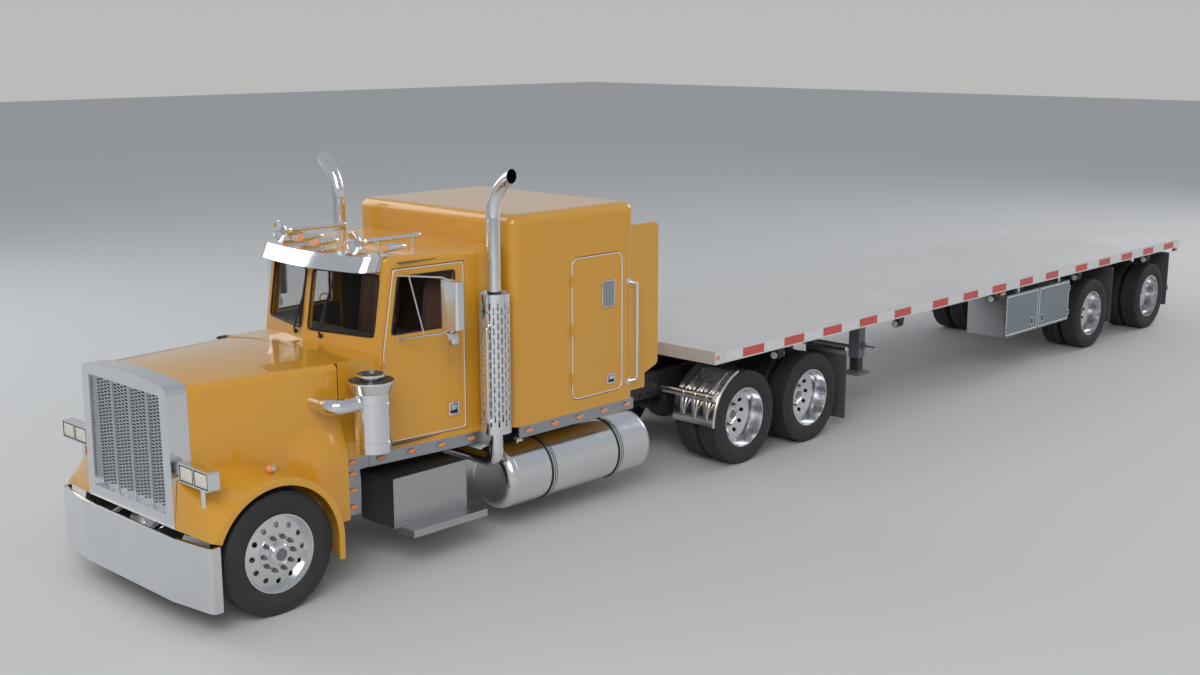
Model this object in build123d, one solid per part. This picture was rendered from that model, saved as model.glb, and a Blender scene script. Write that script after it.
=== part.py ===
from build123d import *
import os
from math import atan2, cos, degrees, hypot, pi, radians, sin, tan

os.makedirs("parts", exist_ok=True)

# A bonneted road tractor with a sleeper, coupled to a flatbed semi-trailer.
# Sizes are in millimetres. x is outwards to the left-hand side, y back from the steer axle,
# z up from the road. The nose points to -y. save() moves the whole vehicle so that y = 0 is at mid-length.

# Clearances
joint_gap = 7        # between a door, lid or hood and what surrounds it
seat_gap = 0.3       # between two pieces of different bodies that rest on each other
running_fit = 0.05   # radial, a shaft turning in its bore
glass_gap = 0.5      # between a pane and its opening, all round

# Hinges of the doors
hinge_radius = 10
hinge_half_height = 54
hinge_leaf = 44
hinge_pin_share = 0.55
small_hinge_radius = 7
small_hinge_half_height = 36

# Tyres and rims
tyre_radius = 527.5
tyre_width = 279
tyre_tread_width = 226
tyre_wall_radius = 430
bead_radius = 335
bead_half_width = 118
rim_wall = 10
disc_wall = 14
hand_hole_count = 12
hand_hole_radius = 24
hand_hole_circle = 243
mount_face_radius = 190
dual_spacing = 330
spindle_radius = 40
spindle_depth = 120
hub_radius = 108
hub_bore_depth = 130
hub_nose = 96
drum_radius = 206
drum_wall = 14
drum_depth = 160

# Stations of the axles and the outer faces of their outermost tyres
drive_stations = (6084, 7325)
trailer_stations = (14598, 16689)
steer_face_x = 1162
drive_face_x = 1230
trailer_face_x = 1254

# Steering
steer_dish = 92          # mounting face of the steer rim, outwards from the tyre's middle plane
kingpin_x = 955
kingpin_radius = 20
knuckle_ear_radius = 46
knuckle_ear_height = 42
axle_eye_height = 130

# Tractor frame
rail_outer_x = 432
rail_flange = 88
rail_web = 9
rail_bottom_z = 750
rail_top_z = 1020
rail_front_y = -440
rail_rear_y = 8040
cross_member_stations = (-395, 1900, 3000, 4200, 5300, 6700, 7960)
cross_member_half_length = 60
cross_member_height = 180

# Engine, gearbox and radiator
engine_mounts = ((-200, 330), (500, 330), (1500, 210))   # station, half width of the casting there
radiator_half = 520
radiator_front_y = -475
radiator_rear_y = -405
radiator_top_z = 1840

# Front axle beam and springs
axle_beam_half_depth = 55
axle_beam_drop = 75
spring_x = 390
spring_half_width = 40
spring_half_length = 600
spring_leaf_height = 70

# Fifth wheel and kingpin
kingpin_y = 6550
kingpin_shank_radius = 25.4
coupler_z = 1190         # top face of the fifth wheel plate
fifth_plate_radius = 465
fifth_plate_thickness = 45
fifth_throat = 62
fifth_ramp_length = 330
kingpin_length = 84

# Hood
hood_front_y = -500
hood_rear_y = 850
hood_front_half = 684
hood_rear_half = 842
hood_edge_z = 1945
hood_crown = 55
hood_side_bottom_z = 800
hood_wall = 8
hood_corner = 60
hood_pivot_y = -700
hood_pivot_z = 700
hood_pivot_radius = 18
hood_lug_x = 320
hood_lug_half = 20
hood_lug_radius = 27
hood_lug_heel = (100, 40)     # the lug's heel, back and up from the pivot
hood_lug_arm = 14             # half thickness of the lug's arm
skirt_panel_x = 935
skirt_panel_bottom_z = 555
skirt_panel_rear_y = 872
skirt_shelf_bottom_z = 1060
skirt_shelf_top_z = 1100

# Radiator shell and grille
shell_front_y = -686
shell_half_bottom = 699
shell_bottom_z = 800
shell_edge_z = 1974
shell_crown = 34
shell_corner = 70
grille_half_bottom = 587
grille_half_top = 567
grille_bottom_z = 907
grille_top_z = 1889
grille_recess = 55
grille_panel_count = 4
grille_bar = 40
grille_slot_rows = 32
grille_slot_columns = 4

# Front fenders
arch_radius = 586
arch_centre_y = -20
arch_centre_z = 530
fender_outer_x = 1190
fender_inner_x = 680
fender_wall = 6
fender_band = 66
fender_tail_z = 335
fender_edge = ((18, 0), (5, 5), (0, 16))     # the rounding of its outer edge: depth inboard, inset
# The outer face's nose, then the inner face's tail, crown and nose, as (station, height)
fender_nose_start = 148       # degrees round the arch where the nose leaves it
fender_nose = (-645, 787)
fender_inner_tail_y = 655
fender_inner_flank = (420, 1010)
fender_inner_crest = (-60, 1250)
fender_inner_brow = (-340, 1252)
fender_inner_front = (-640, 1215)
fender_inner_toe = (-684, 800)
fender_lamp_x = 1050
fender_lamp_z = 1234
fender_lamp_radius = 26

# Headlamps
lamp_inner_x = 748
lamp_outer_x = 1186
lamp_bottom_z = 1208
lamp_top_z = 1368
lamp_front_y = -652
lamp_depth = 120
lamp_corner = 22
lamp_back_chamfer = 18
lamp_rim = 12
lamp_recess = 16
lamp_lens = 10
lamp_post_radius = 22
lamp_post_bottom_z = 950

# Bumper
bumper_bottom_z = 215
bumper_top_z = 760
bumper_front_y = -755
bumper_sheet = 6
bumper_lip = 30
bumper_flat_half = 720
bumper_side_x = 1218
bumper_end_y = -690
bumper_return_y = -595

# Cab
cab_floor_z = 1070
cab_top_z = 2800
cab_rear_y = 2636
cab_wall = 45
cab_front_half = 870
cab_side_taper = 0.0985   # outward per mm rearward from the pillar
cab_pillar_y = 1300
screen_y = 1112           # windscreen plane on the centre line
screen_z = 2093
screen_rake = 0.165
screen_sweep = 0.235
screen_post_half = 48
screen_outer_x = 792
screen_top_z = 2640
glass_thickness = 6
cowl_front_y = 857
cowl_half = 850
door_front_y = 1320
door_pillar_y = 1445
door_pillar_z = 1950
door_rear_y = 2215
door_bottom_z = 1128
door_top_z = 2700
window_bottom_z = 2110
window_top_z = 2625
window_front_y = 1500
window_lower_front_y = 1420
window_rear_y = 2110
door_open_max = 65
door_hinge_heights = (1270, 1830)
door_latch_front_y = 2000
door_latch_rear_y = 2130
door_latch_bottom_z = 1275
door_latch_top_z = 1402

# Dashboard
dash_half = 795
dash_bottom_z = 1750
dash_top_z = 2060
dash_rear_top_z = 1980
dash_rear_y = 1620

# Steering wheel
steering_x = 480
steering_y = 1800
steering_z = 2010
steering_tilt = 35
column_length = 200
column_radius = 22

# Sleeper
sleeper_front_y = 2640
sleeper_rear_y = 4320
sleeper_half = 1150
sleeper_top_z = 3080
sleeper_wall = 40
sleeper_corner = 95
sleeper_door_front_y = 3400
sleeper_door_rear_y = 4140
sleeper_door_bottom_z = 1190
sleeper_door_top_z = 2605
sleeper_door_corner = 90
sleeper_hinge_heights = (1420, 1900, 2380)
extender_rear_y = 4695
extender_top_z = 2840
extender_step_z = 1333
extender_low_rear_y = 4495
extender_bottom_z = 1142
extender_wall = 30
extender_inset = 22
extender_corner = 60
handle_y = 4222
handle_reach = 62
handle_top_z = 2282
handle_bottom_z = 1256
handle_radius = 16

# Skirts and lamps along the cab and sleeper
skirt_bottom_z = 958
skirt_wall = 24
side_lamp_length = 90
side_lamp_height = 36
side_lamp_depth = 16
cab_lamp_stations = (1277, 1600, 1924, 2254)
sleeper_lamp_stations = (2822, 3166, 3508, 3853, 4196)
cowl_lamp_heights = (631, 783, 933, 1035)
cowl_strip_front_y = 885
cowl_strip_rear_y = 1055

# Fuel tanks
tank_radius = 311
tank_x = 889
tank_z = 542
tank_front_y = 2560
tank_rear_y = 4560
tank_dome = 95
tank_strap_stations = (3121, 4064)
tank_strap_width = 62
tank_strap_thickness = 7

# Step boxes
step_box_face_x = 1050
step_box_front_y = 1262
step_box_rear_y = 2115
step_box_bottom_z = 400
step_box_top_z = 858
step_tread_x = 1235
step_tread_thickness = 66

# Exhausts
stack_x = 1150
stack_y = 2405
stack_radius = 63.5
stack_wall = 4
stack_corner_z = 3357     # where the straight stack and its turned-out end would meet
stack_end_run = 340
stack_end_slope = 25      # degrees that the end points above level
stack_bend = 420
stack_cut_x = 1402
shield_radius = 145
shield_wall = 5
shield_bottom_z = 1090
shield_top_z = 2400
shield_slot_rows = 25
shield_slot_columns = 12
shield_slot_width = 15
shield_slot_height = 70
shield_collar = 75
stack_bracket_heights = (1180, 2330)
stack_elbow_z = 800

# Air cleaners
cleaner_x = 1098
cleaner_y = 1020
cleaner_radius = 160
cleaner_rim_radius = 204
cleaner_rim_lip = 10
cleaner_cap_radius = 125
cleaner_neck_radius = 101
cleaner_recess = 22
cleaner_bottom_z = 1190
cleaner_top_z = 1870
intake_z = 1632
intake_radius = 68
intake_split_x = 962
intake_front_y = 560

# Visor, horns and roof lamps
visor_bottom_z = 2676
visor_sheet = 6
visor_seat = 95          # how far its top flange lies back on the roof
# Half of the visor's bow, as (x, station at its lower edge, station at its upper edge)
visor_end = (812, 1385, 1435)
visor_side = (772, 1232, 1290)
visor_corner = (620, 1148, 1215)
visor_middle = (0, 1072, 1150)
horn_x = (-500, 620)
horn_bell_y = 1275
horn_tail_y = 1965
horn_z = 2922
horn_bell_radius = 62
horn_tube_radius = 14
roof_lamp_x = (-755, -345, 0, 345, 755)
roof_lamp_z = 2862

# Mirrors
mirror_x = 1328
mirror_y = 1702
mirror_bottom_z = 2188
mirror_top_z = 2610
mirror_width = 228
mirror_depth = 98
mirror_corner = 30
mirror_arm_radius = 9
mirror_pad_radius = 15
mirror_pad_thickness = 8
mirror_arm_root_y = (1500, 1480)     # of the upper and the lower arm
mirror_convex_radius = 64

# Quarter fenders and mud flaps
quarter_radius = 565
quarter_wall = 4
quarter_edge = 13        # radius of the rolled outer edge
quarter_start = 106      # degrees from the rearward direction
quarter_end = 181
quarter_strap_x = (780, 945, 1110)
quarter_strap_half = 17
quarter_post_angle = 150
quarter_post_radius = 26
quarter_outer_x = 1240
quarter_inner_x = 640
flap_y = 8010
flap_inner_x = 655
flap_outer_x = 1235
flap_top_z = 1000
flap_bottom_z = 150
flap_thickness = 10

# Trailer
deck_front_y = 5435
deck_rear_y = 17597
deck_half = 1295.5
deck_top_z = 1380
deck_plank = 32
side_rail_bottom_z = 1240
side_rail_thickness = 28
side_rail_flange = 60
coupler_plate = 10
coupler_half = 540
coupler_front_y = 5600
coupler_rear_y = 7640
beam_x = 482
beam_flange_half = 65
beam_flange = 14
beam_web = 9
beam_front_y = 5560
beam_rear_y = 17480
beam_shallow_z = 1200
beam_deep_z = 1110
beam_taper_start_y = 7800
beam_taper_end_y = 8300
bogie_front_y = 13900
bogie_rear_y = 17380
bogie_bottom_z = 880
bogie_half = 40
bogie_member_shifts = (-330, 520)
trailer_cross_pitch = 610
trailer_cross_height = 60
trailer_cross_half = 25
leg_x = 642
leg_y = 9127
leg_width = 155
leg_length = 134
leg_wall = 14
leg_sleeve_bottom_z = 640
leg_bottom_z = 420
leg_mount_height = 110
leg_gusset = 190
foot_half = 130
foot_height = 38
leg_brace_z = 760
leg_crank_z = 800
toolbox_outer_x = 1270
toolbox_inner_x = 677
toolbox_front_y = 11850
toolbox_rear_y = 13730
toolbox_bottom_z = 560
toolbox_top_z = 1158
toolbox_wall = 4
toolbox_door_wall = 22
toolbox_hanger_crosses = (11, 13)
toolbox_hinge_heights = (680, 1040)
winch_stations = (6630, 9122, 11527, 14006, 16424)
air_bag_radius = 105
guard_bottom_z = 500
guard_rear_y = 17560
guard_half = 1180
guard_radius = 50
guard_post_half = 40
tail_lamp_x = (560, 700, 840)
tail_lamp_radius = 48
tail_lamp_recess = 9

mid_length = (deck_rear_y + bumper_front_y) / 2


def save(name, *pieces):
    solids = [solid for piece in pieces for solid in piece.solids()]
    node = solids[0] if len(solids) == 1 else Compound(solids)
    export_step(node.moved(Location((0, -mid_length, 0))), f"parts/{name}.step")


def block(x0, x1, y0, y1, z0, z1):
    return Pos((x0 + x1) / 2, (y0 + y1) / 2, (z0 + z1) / 2) * Box(abs(x1 - x0), abs(y1 - y0), abs(z1 - z0))


def side_plate(outline, x0, x1):
    """A prism along x whose outline is drawn in (y, z)."""
    return extrude(Plane.YZ.offset(min(x0, x1)) * make_face(Polyline(*outline, close=True)), amount=abs(x1 - x0))


def plan_plate(outline, z0, z1):
    """A prism along z whose outline is drawn in (x, y)."""
    return extrude(Plane.XY.offset(z0) * make_face(Polyline(*outline, close=True)), amount=z1 - z0)


def front_plate(outline, y0, y1):
    """A prism along y whose outline is drawn in (x, z)."""
    face = make_face(Polyline(*[(x, y0, z) for x, z in outline], close=True))
    return extrude(face, amount=y1 - y0, dir=(0, 1, 0))


def shaft(x0, x1, y, z, radius):
    return Pos((x0 + x1) / 2, y, z) * Rot(0, 90, 0) * Cylinder(radius, abs(x1 - x0))


def bar_along_y(x, y0, y1, z, radius):
    return Pos(x, (y0 + y1) / 2, z) * Rot(90, 0, 0) * Cylinder(radius, abs(y1 - y0))


def post(x, y, z0, z1, radius):
    return Pos(x, y, (z0 + z1) / 2) * Cylinder(radius, z1 - z0)


def tube_along(points, radius, bend):
    path = FilletPolyline(*points, radius=bend) if len(points) > 2 else Line(*points)
    return sweep(Plane(origin=path @ 0, z_dir=path % 0) * Circle(radius), path=path)


def turned(outline, x, y, z):
    """A piece turned about a cross-wise axis, from an outline in (distance along x, radius)."""
    return Pos(x, y, z) * revolve(make_face(Polyline(*outline, close=True)), Axis.X)


def mirrored(piece):
    return mirror(piece, Plane.YZ)


def hinge(x, y, z, radius, half_height, fixed_leaf, moving_leaf):
    """A pin hinge on an upright axis. Each leaf is (x0, x1, y0, y1)."""
    third = half_height / 3
    pin = radius * hinge_pin_share
    fixed = post(x, y, z - half_height, z + half_height, pin)
    for z0, z1 in ((z - half_height, z - third), (z + third, z + half_height)):
        fixed += post(x, y, z0, z1, radius) + block(*fixed_leaf, z0, z1)
    z0, z1 = z - third + seat_gap, z + third - seat_gap
    moving = post(x, y, z0, z1, radius) + block(*moving_leaf, z0, z1)
    return fixed, moving - post(x, y, z0 - 1, z1 + 1, pin + running_fit)


def cab_side_x(y):
    return cab_front_half + cab_side_taper * (y - cab_pillar_y)


def screen_plane_y(x, z):
    return screen_y + screen_rake * (z - screen_z) + screen_sweep * abs(x)


# Wheels

def make_tyre(x, y):
    tread, wall, bead = tyre_tread_width / 2, tyre_width / 2, bead_half_width
    outline = [(-bead, bead_radius), (-wall, tyre_wall_radius), (-tread, tyre_radius),
               (tread, tyre_radius), (wall, tyre_wall_radius), (bead, bead_radius)]
    return turned(outline, x, y, tyre_radius)


def rim_barrel(x, y):
    outer = bead_radius - seat_gap
    half = bead_half_width
    return turned([(-half, outer - rim_wall), (-half, outer), (half, outer), (half, outer - rim_wall)],
                  x, y, tyre_radius)


def hand_holes(x, y, length):
    wheel = Pos(x, y, tyre_radius) * Rot(0, 90, 0)
    return [wheel * spot * Cylinder(hand_hole_radius, length) for spot in PolarLocations(hand_hole_circle, hand_hole_count)]


def rim_disc(x, y, side, slope):
    """The dished disc from the mounting face at x out to the barrel, sloping by slope towards side."""
    inner = hub_radius - 30
    edge = bead_radius - seat_gap - rim_wall / 2
    w = disc_wall
    outline = [(0, inner), (0, mount_face_radius), (side * slope, edge),
               (side * (slope + w), edge), (side * w, mount_face_radius - 4), (side * w, inner)]
    return turned(outline, x, y, tyre_radius)


def hub(x, y, side, nose, bore_depth):
    """A hub from the mounting face at x: its nose points to side and its bore opens the other way."""
    bore = spindle_radius + running_fit
    body = shaft(x - side * bore_depth, x + side * nose, y, tyre_radius, hub_radius - 12)
    flange = shaft(x - side * 2, x + side * (disc_wall + 6), y, tyre_radius, mount_face_radius - 12)
    hole = shaft(x - side * (bore_depth + 1), x + side * (nose - 30), y, tyre_radius, bore)
    return body + flange - hole


def brake_drum(x, y, side):
    w = drum_wall
    outline = [(0, spindle_radius + 30), (0, drum_radius), (-side * drum_depth, drum_radius),
               (-side * drum_depth, drum_radius - w), (-side * w, drum_radius - w), (-side * w, spindle_radius + 30)]
    return turned(outline, x, y, tyre_radius)


steer_tyre_x = steer_face_x - tyre_width / 2
steer_mount_x = steer_tyre_x + steer_dish


def make_steer_wheel():
    disc = rim_disc(steer_mount_x, 0, -1, 34) - hand_holes(steer_mount_x - 20, 0, 120)
    return rim_barrel(steer_tyre_x, 0) + disc + hub(steer_mount_x - disc_wall, 0, 1, 44, 62)


def dual_centres(face_x):
    outer = face_x - tyre_width / 2
    return outer, outer - dual_spacing


def make_dual_rims(face_x, y):
    outer, inner = dual_centres(face_x)
    middle = (outer + inner) / 2
    rims = rim_barrel(outer, y) + rim_barrel(inner, y)
    rims += rim_disc(middle, y, 1, 72) + rim_disc(middle, y, -1, 72)
    rims -= hand_holes(middle, y, 260)
    return rims + hub(middle, y, 1, hub_nose, hub_bore_depth) + brake_drum(middle - disc_wall, y, 1)


def save_wheels():
    steer_tyre = make_tyre(steer_tyre_x, 0)
    steer_rim = make_steer_wheel()
    save("steer_tyre_left", steer_tyre)
    save("steer_tyre_right", mirrored(steer_tyre))
    save("steer_rim_left", steer_rim)
    save("steer_rim_right", mirrored(steer_rim))
    axles = [("drive_front", drive_face_x, drive_stations[0]), ("drive_rear", drive_face_x, drive_stations[1]),
             ("trailer_front", trailer_face_x, trailer_stations[0]),
             ("trailer_rear", trailer_face_x, trailer_stations[1])]
    for name, face_x, y in axles:
        outer, inner = dual_centres(face_x)
        tyres = [make_tyre(outer, y), make_tyre(inner, y)]
        rims = make_dual_rims(face_x, y)
        save(f"{name}_tyres_left", *tyres)
        save(f"{name}_tyres_right", *[mirrored(tyre) for tyre in tyres])
        save(f"{name}_rims_left", rims)
        save(f"{name}_rims_right", mirrored(rims))


# Steering and axles

def make_knuckle():
    z = tyre_radius
    half = axle_eye_height / 2
    bottom, top = z - half - 5, z + half + 5
    ears = post(kingpin_x, 0, bottom - knuckle_ear_height, bottom, knuckle_ear_radius)
    ears += post(kingpin_x, 0, top, top + knuckle_ear_height, knuckle_ear_radius)
    back_x = kingpin_x + knuckle_ear_radius + 8
    back = block(back_x, back_x + 26, -44, 44, bottom - knuckle_ear_height, top + knuckle_ear_height)
    for z0 in (bottom - knuckle_ear_height, top):
        back += block(kingpin_x, back_x + 2, -36, 36, z0, z0 + knuckle_ear_height)
    pin = post(kingpin_x, 0, bottom - 10, top + 10, kingpin_radius)
    spindle = shaft(back_x + 20, steer_mount_x - 10, 0, z, spindle_radius)
    arm = block(kingpin_x - 25, kingpin_x + 15, 20, 215, bottom - knuckle_ear_height, bottom - 16)
    return ears + back + pin + spindle + arm


def spring_pack(x, y, half_length, z_low, rise):
    """A leaf pack bowed down in the middle, as one band."""
    outline = [(y - half_length, z_low + rise), (y - half_length / 2, z_low + rise * 0.3), (y, z_low),
               (y + half_length / 2, z_low + rise * 0.3), (y + half_length, z_low + rise)]
    band = outline + [(yy, zz + spring_leaf_height) for yy, zz in reversed(outline)]
    return side_plate(band, x - spring_half_width, x + spring_half_width)


def drive_axle(face_x, y, tube_radius):
    """The axle tube, with the spindles that the hubs turn on."""
    outer, inner = dual_centres(face_x)
    middle = (outer + inner) / 2
    tube = shaft(-(middle - dual_spacing), middle - dual_spacing, y, tyre_radius, tube_radius)
    reach = middle + spindle_depth - 70
    return tube + shaft(-reach, reach, y, tyre_radius, spindle_radius)


def make_tractor_axles():
    z = tyre_radius
    eye = kingpin_x
    beam_z = z - axle_beam_drop
    half = axle_eye_height / 2
    beam_outline = [(-eye, z - half), (-eye + 46, z - half), (-eye + 170, beam_z - 60),
                    (eye - 170, beam_z - 60), (eye - 46, z - half), (eye, z - half),
                    (eye, z + half), (eye - 60, z + half), (eye - 210, beam_z + 55),
                    (-eye + 210, beam_z + 55), (-eye + 60, z + half), (-eye, z + half)]
    beam = front_plate(beam_outline, -axle_beam_half_depth + 10, axle_beam_half_depth - 10)
    for side in (-1, 1):
        beam += post(side * eye, 0, z - half, z + half, knuckle_ear_radius)
        beam -= post(side * eye, 0, z - half - 1, z + half + 1, kingpin_radius + running_fit)
        beam += block(side * (spring_x - 50), side * (spring_x + 50), -70, 70, beam_z, beam_z + 75)
    spring_z = beam_z + 75 - 1
    for side in (-1, 1):
        beam += spring_pack(side * spring_x, 0, spring_half_length - 180, spring_z, 90)
    pieces = [beam]
    for y in drive_stations:
        axle = drive_axle(drive_face_x, y, 72)
        axle += Pos(0, y, z) * Sphere(205)
        axle += bar_along_y(0, y - 330, y + 120, z + 40, 95)
        for side in (-1, 1):
            axle += block(side * (spring_x - 55), side * (spring_x + 55), y - 90, y + 90, z + 20, z + 62)
            axle += spring_pack(side * spring_x, y, 420, z + 60, 60)
        pieces.append(axle)
    link = bar_along_y(0, drive_stations[0] + 100, drive_stations[1] - 300, z + 40, 50)
    pieces[1:] = [pieces[1] + link + pieces[2]]
    return pieces


# Tractor frame and running gear

def frame_rail():
    outer = block(rail_outer_x - rail_flange, rail_outer_x, rail_front_y, rail_rear_y, rail_bottom_z, rail_top_z)
    inner = block(rail_outer_x - rail_flange - 1, rail_outer_x - rail_web, rail_front_y - 1, rail_rear_y + 1,
                  rail_bottom_z + rail_web, rail_top_z - rail_web)
    return outer - inner


def make_tractor_frame():
    rail = frame_rail()
    frame = rail + mirrored(rail)
    middle_z = (rail_bottom_z + rail_top_z) / 2
    for y in cross_member_stations:
        half = cross_member_half_length
        member = block(-(rail_outer_x - rail_web), rail_outer_x - rail_web, y - half, y + half,
                       middle_z - cross_member_height / 2, middle_z + cross_member_height / 2)
        member -= block(-rail_outer_x, rail_outer_x, y - half + 10, y + half + 1,
                        middle_z - cross_member_height / 2 + 10, middle_z + cross_member_height / 2 - 10)
        frame += member
    # Bumper brackets and the tube that the hood swings on
    plate_x = rail_outer_x - rail_web
    front = bumper_front_y + bumper_sheet + seat_gap
    for side in (-1, 1):
        outline = [(rail_front_y + 40, rail_bottom_z - 1), (rail_front_y + 40, rail_bottom_z + 80),
                   (rail_front_y - 60, rail_bottom_z + 20), (hood_pivot_y + 140, hood_pivot_z + 50),
                   (front, hood_pivot_z + 35), (front, bumper_bottom_z + 130),
                   (front + 46, bumper_bottom_z + 130), (rail_front_y - 40, rail_bottom_z - 160)]
        frame += side_plate(outline, side * (plate_x - 8), side * (plate_x + 8))
        frame += block(side * (plate_x - 60), side * (plate_x + 60), front, front + 10, bumper_bottom_z + 130, hood_pivot_z)
    frame += shaft(-plate_x, plate_x, hood_pivot_y, hood_pivot_z, hood_pivot_radius)
    for side in (-1, 1):
        # Spring hangers and cab, sleeper and tank brackets
        for y in (-spring_half_length + 180, spring_half_length - 180):
            frame += block(side * (spring_x - 30), side * (spring_x + 30), y - 30, y + 30,
                           tyre_radius - axle_beam_drop + 74 + 90 + spring_leaf_height + seat_gap, rail_bottom_z + 1)
        for y in (1500, 2500, 2900, 4150):
            frame += block(side * (rail_outer_x - rail_flange), side * rail_outer_x, y - 45, y + 45,
                           rail_top_z - 1, cab_floor_z - seat_gap)
        for y in tank_strap_stations:
            frame += tank_bracket(side, y)
        for y in (step_box_front_y + 140, step_box_rear_y - 140):
            frame += block(side * (rail_outer_x - 1), side * (step_box_inner_x() - seat_gap), y - 25, y + 25,
                           step_box_top_z - 70, step_box_top_z - 20)
        for y in drive_stations:
            for end in (-400, 400):
                frame += block(side * (spring_x - 30), side * (spring_x + 30), y + end - 30, y + end + 30,
                               tyre_radius + 120 + spring_leaf_height + seat_gap, rail_bottom_z + 1)
    return frame


def step_box_inner_x():
    return rail_outer_x + 150


def tank_bracket(side, y):
    """An arm from the rail that the tank lies against."""
    gap = tank_strap_thickness + seat_gap
    bottom = tank_z - tank_radius * 0.55
    arm = block(side * (rail_outer_x - 1), side * tank_x, y - 25, y + 25, bottom, rail_bottom_z + 100)
    tank = bar_along_y(side * tank_x, y - 40, y + 40, tank_z, tank_radius + gap)
    return arm - tank


def make_engine():
    block_piece = block(-330, 330, -330, 880, 640, 1560)
    gearbox = block(-210, 210, 878, 1830, 640, 1050)
    shaft_piece = tube_along([(0, 1825, 700), (0, drive_stations[0] - 340, tyre_radius + 45)], 55, 0)
    engine = block_piece + gearbox + shaft_piece
    mount_x = rail_outer_x - rail_flange - seat_gap
    for y, inner_x in engine_mounts:
        for side in (-1, 1):
            engine += block(side * (inner_x - 1), side * mount_x, y - 35, y + 35, rail_top_z - 80, rail_top_z)
    core = block(-radiator_half, radiator_half, radiator_front_y, radiator_rear_y, rail_top_z + seat_gap, radiator_top_z)
    return [engine, core]


def make_fifth_wheel():
    top = coupler_z
    plate = Pos(0, kingpin_y, top - fifth_plate_thickness / 2) * Cylinder(fifth_plate_radius, fifth_plate_thickness)
    tails = side_plate([(kingpin_y + 120, top), (kingpin_y + 440, top), (kingpin_y + 440 + 220, top - 130),
                        (kingpin_y + 440 + 180, top - 150), (kingpin_y + 420, top - fifth_plate_thickness),
                        (kingpin_y + 120, top - fifth_plate_thickness)], -280, 280)
    plate += tails
    plate -= post(0, kingpin_y, top - fifth_plate_thickness - 1, top + 1, kingpin_shank_radius + running_fit)
    throat = [(-kingpin_shank_radius * 0.9, kingpin_y + 26), (-fifth_throat, kingpin_y + 160),
              (-190, kingpin_y + 700), (190, kingpin_y + 700), (fifth_throat, kingpin_y + 160),
              (kingpin_shank_radius * 0.9, kingpin_y + 26)]
    plate -= plan_plate(throat, top - 200, top + 1)
    for side in (-1, 1):
        cheek = [(kingpin_y - 190, rail_top_z + seat_gap), (kingpin_y + 190, rail_top_z + seat_gap),
                 (kingpin_y + 70, top - fifth_plate_thickness + 1), (kingpin_y - 70, top - fifth_plate_thickness + 1)]
        plate += side_plate(cheek, side * 395, side * 425)
        plate += block(side * 340, side * 480, kingpin_y - 300, kingpin_y + 300,
                       rail_top_z + seat_gap, rail_top_z + seat_gap + 14)
    return plate


# Hood, radiator shell and front fenders

def hood_section(y, half, edge_z, bottom_z):
    """The hood's outline across the vehicle at y, with a crowned top between rounded edges."""
    c = hood_corner
    return shell_outline(half, half, bottom_z, edge_z, hood_crown, c, y)


def hood_form(inset):
    front = hood_section(hood_front_y, hood_front_half - inset, hood_edge_z + 6 - inset, hood_side_bottom_z)
    rear = hood_section(hood_rear_y, hood_rear_half - inset, hood_edge_z - 4 - inset, hood_side_bottom_z)
    return loft([front, rear])


def intake_elbow():
    path = FilletPolyline((cleaner_x, cleaner_y - 40, intake_z), (cleaner_x, intake_front_y + intake_radius, intake_z),
                          (hood_rear_half - 90, intake_front_y + intake_radius, intake_z), radius=118)
    return sweep(Plane(origin=path @ 0, z_dir=path % 0) * Circle(intake_radius), path=path)


def skirt_panel_front_y():
    return fender_inner_tail_y + 5


def wheel_arch(clearance):
    """The round space over both front wheels."""
    return shaft(-1300, 1300, arch_centre_y, arch_centre_z, arch_radius - clearance)


def make_hood():
    shell = hood_form(0) - hood_form(hood_wall)
    keep = block(-2000, 2000, hood_front_y, hood_rear_y, hood_side_bottom_z - 1, 3000)
    hood = (shell & keep) - wheel_arch(1)
    for side in (-1, 1):
        panel_outline = [(skirt_panel_front_y(), skirt_shelf_top_z), (skirt_panel_front_y(), skirt_panel_bottom_z),
                         (skirt_panel_rear_y, skirt_panel_bottom_z), (skirt_panel_rear_y, skirt_shelf_top_z)]
        panel = side_plate(panel_outline, side * (skirt_panel_x - hood_wall), side * skirt_panel_x)
        shelf_outline = [(side * (hood_rear_half - 40), skirt_shelf_bottom_z), (side * skirt_panel_x, skirt_shelf_bottom_z),
                         (side * skirt_panel_x, skirt_shelf_top_z), (side * (hood_rear_half - 26), skirt_shelf_top_z + 80)]
        shelf = front_plate(shelf_outline, skirt_panel_front_y(), hood_rear_y - 2)
        hood += panel
        hood += shelf - block(side * 10, side * (hood_rear_half - 30), 0, hood_rear_y + 1, 0, 3000)
        elbow = intake_elbow() if side > 0 else mirrored(intake_elbow())
        inner_part = elbow & block(side * (hood_rear_half - 60), side * (intake_split_x - joint_gap), 0, hood_rear_y, 1000, 2000)
        hood += inner_part
    return hood


def shell_outline(half_bottom, half_top, bottom, edge, crown, corner, y):
    left = Line((half_bottom, y, bottom), (half_top, y, edge - corner))
    right = Line((-half_bottom, y, bottom), (-half_top, y, edge - corner))
    left_corner = ThreePointArc((half_top, y, edge - corner),
                                (half_top - corner * 0.293, y, edge - corner * 0.293), (half_top - corner, y, edge))
    right_corner = ThreePointArc((-half_top, y, edge - corner),
                                 (-half_top + corner * 0.293, y, edge - corner * 0.293), (-half_top + corner, y, edge))
    top = ThreePointArc((half_top - corner, y, edge), (0, y, edge + crown), (-half_top + corner, y, edge))
    floor = Line((-half_bottom, y, bottom), (half_bottom, y, bottom))
    return make_face(Wire([left, left_corner, top, right_corner, right, floor]))


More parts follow.
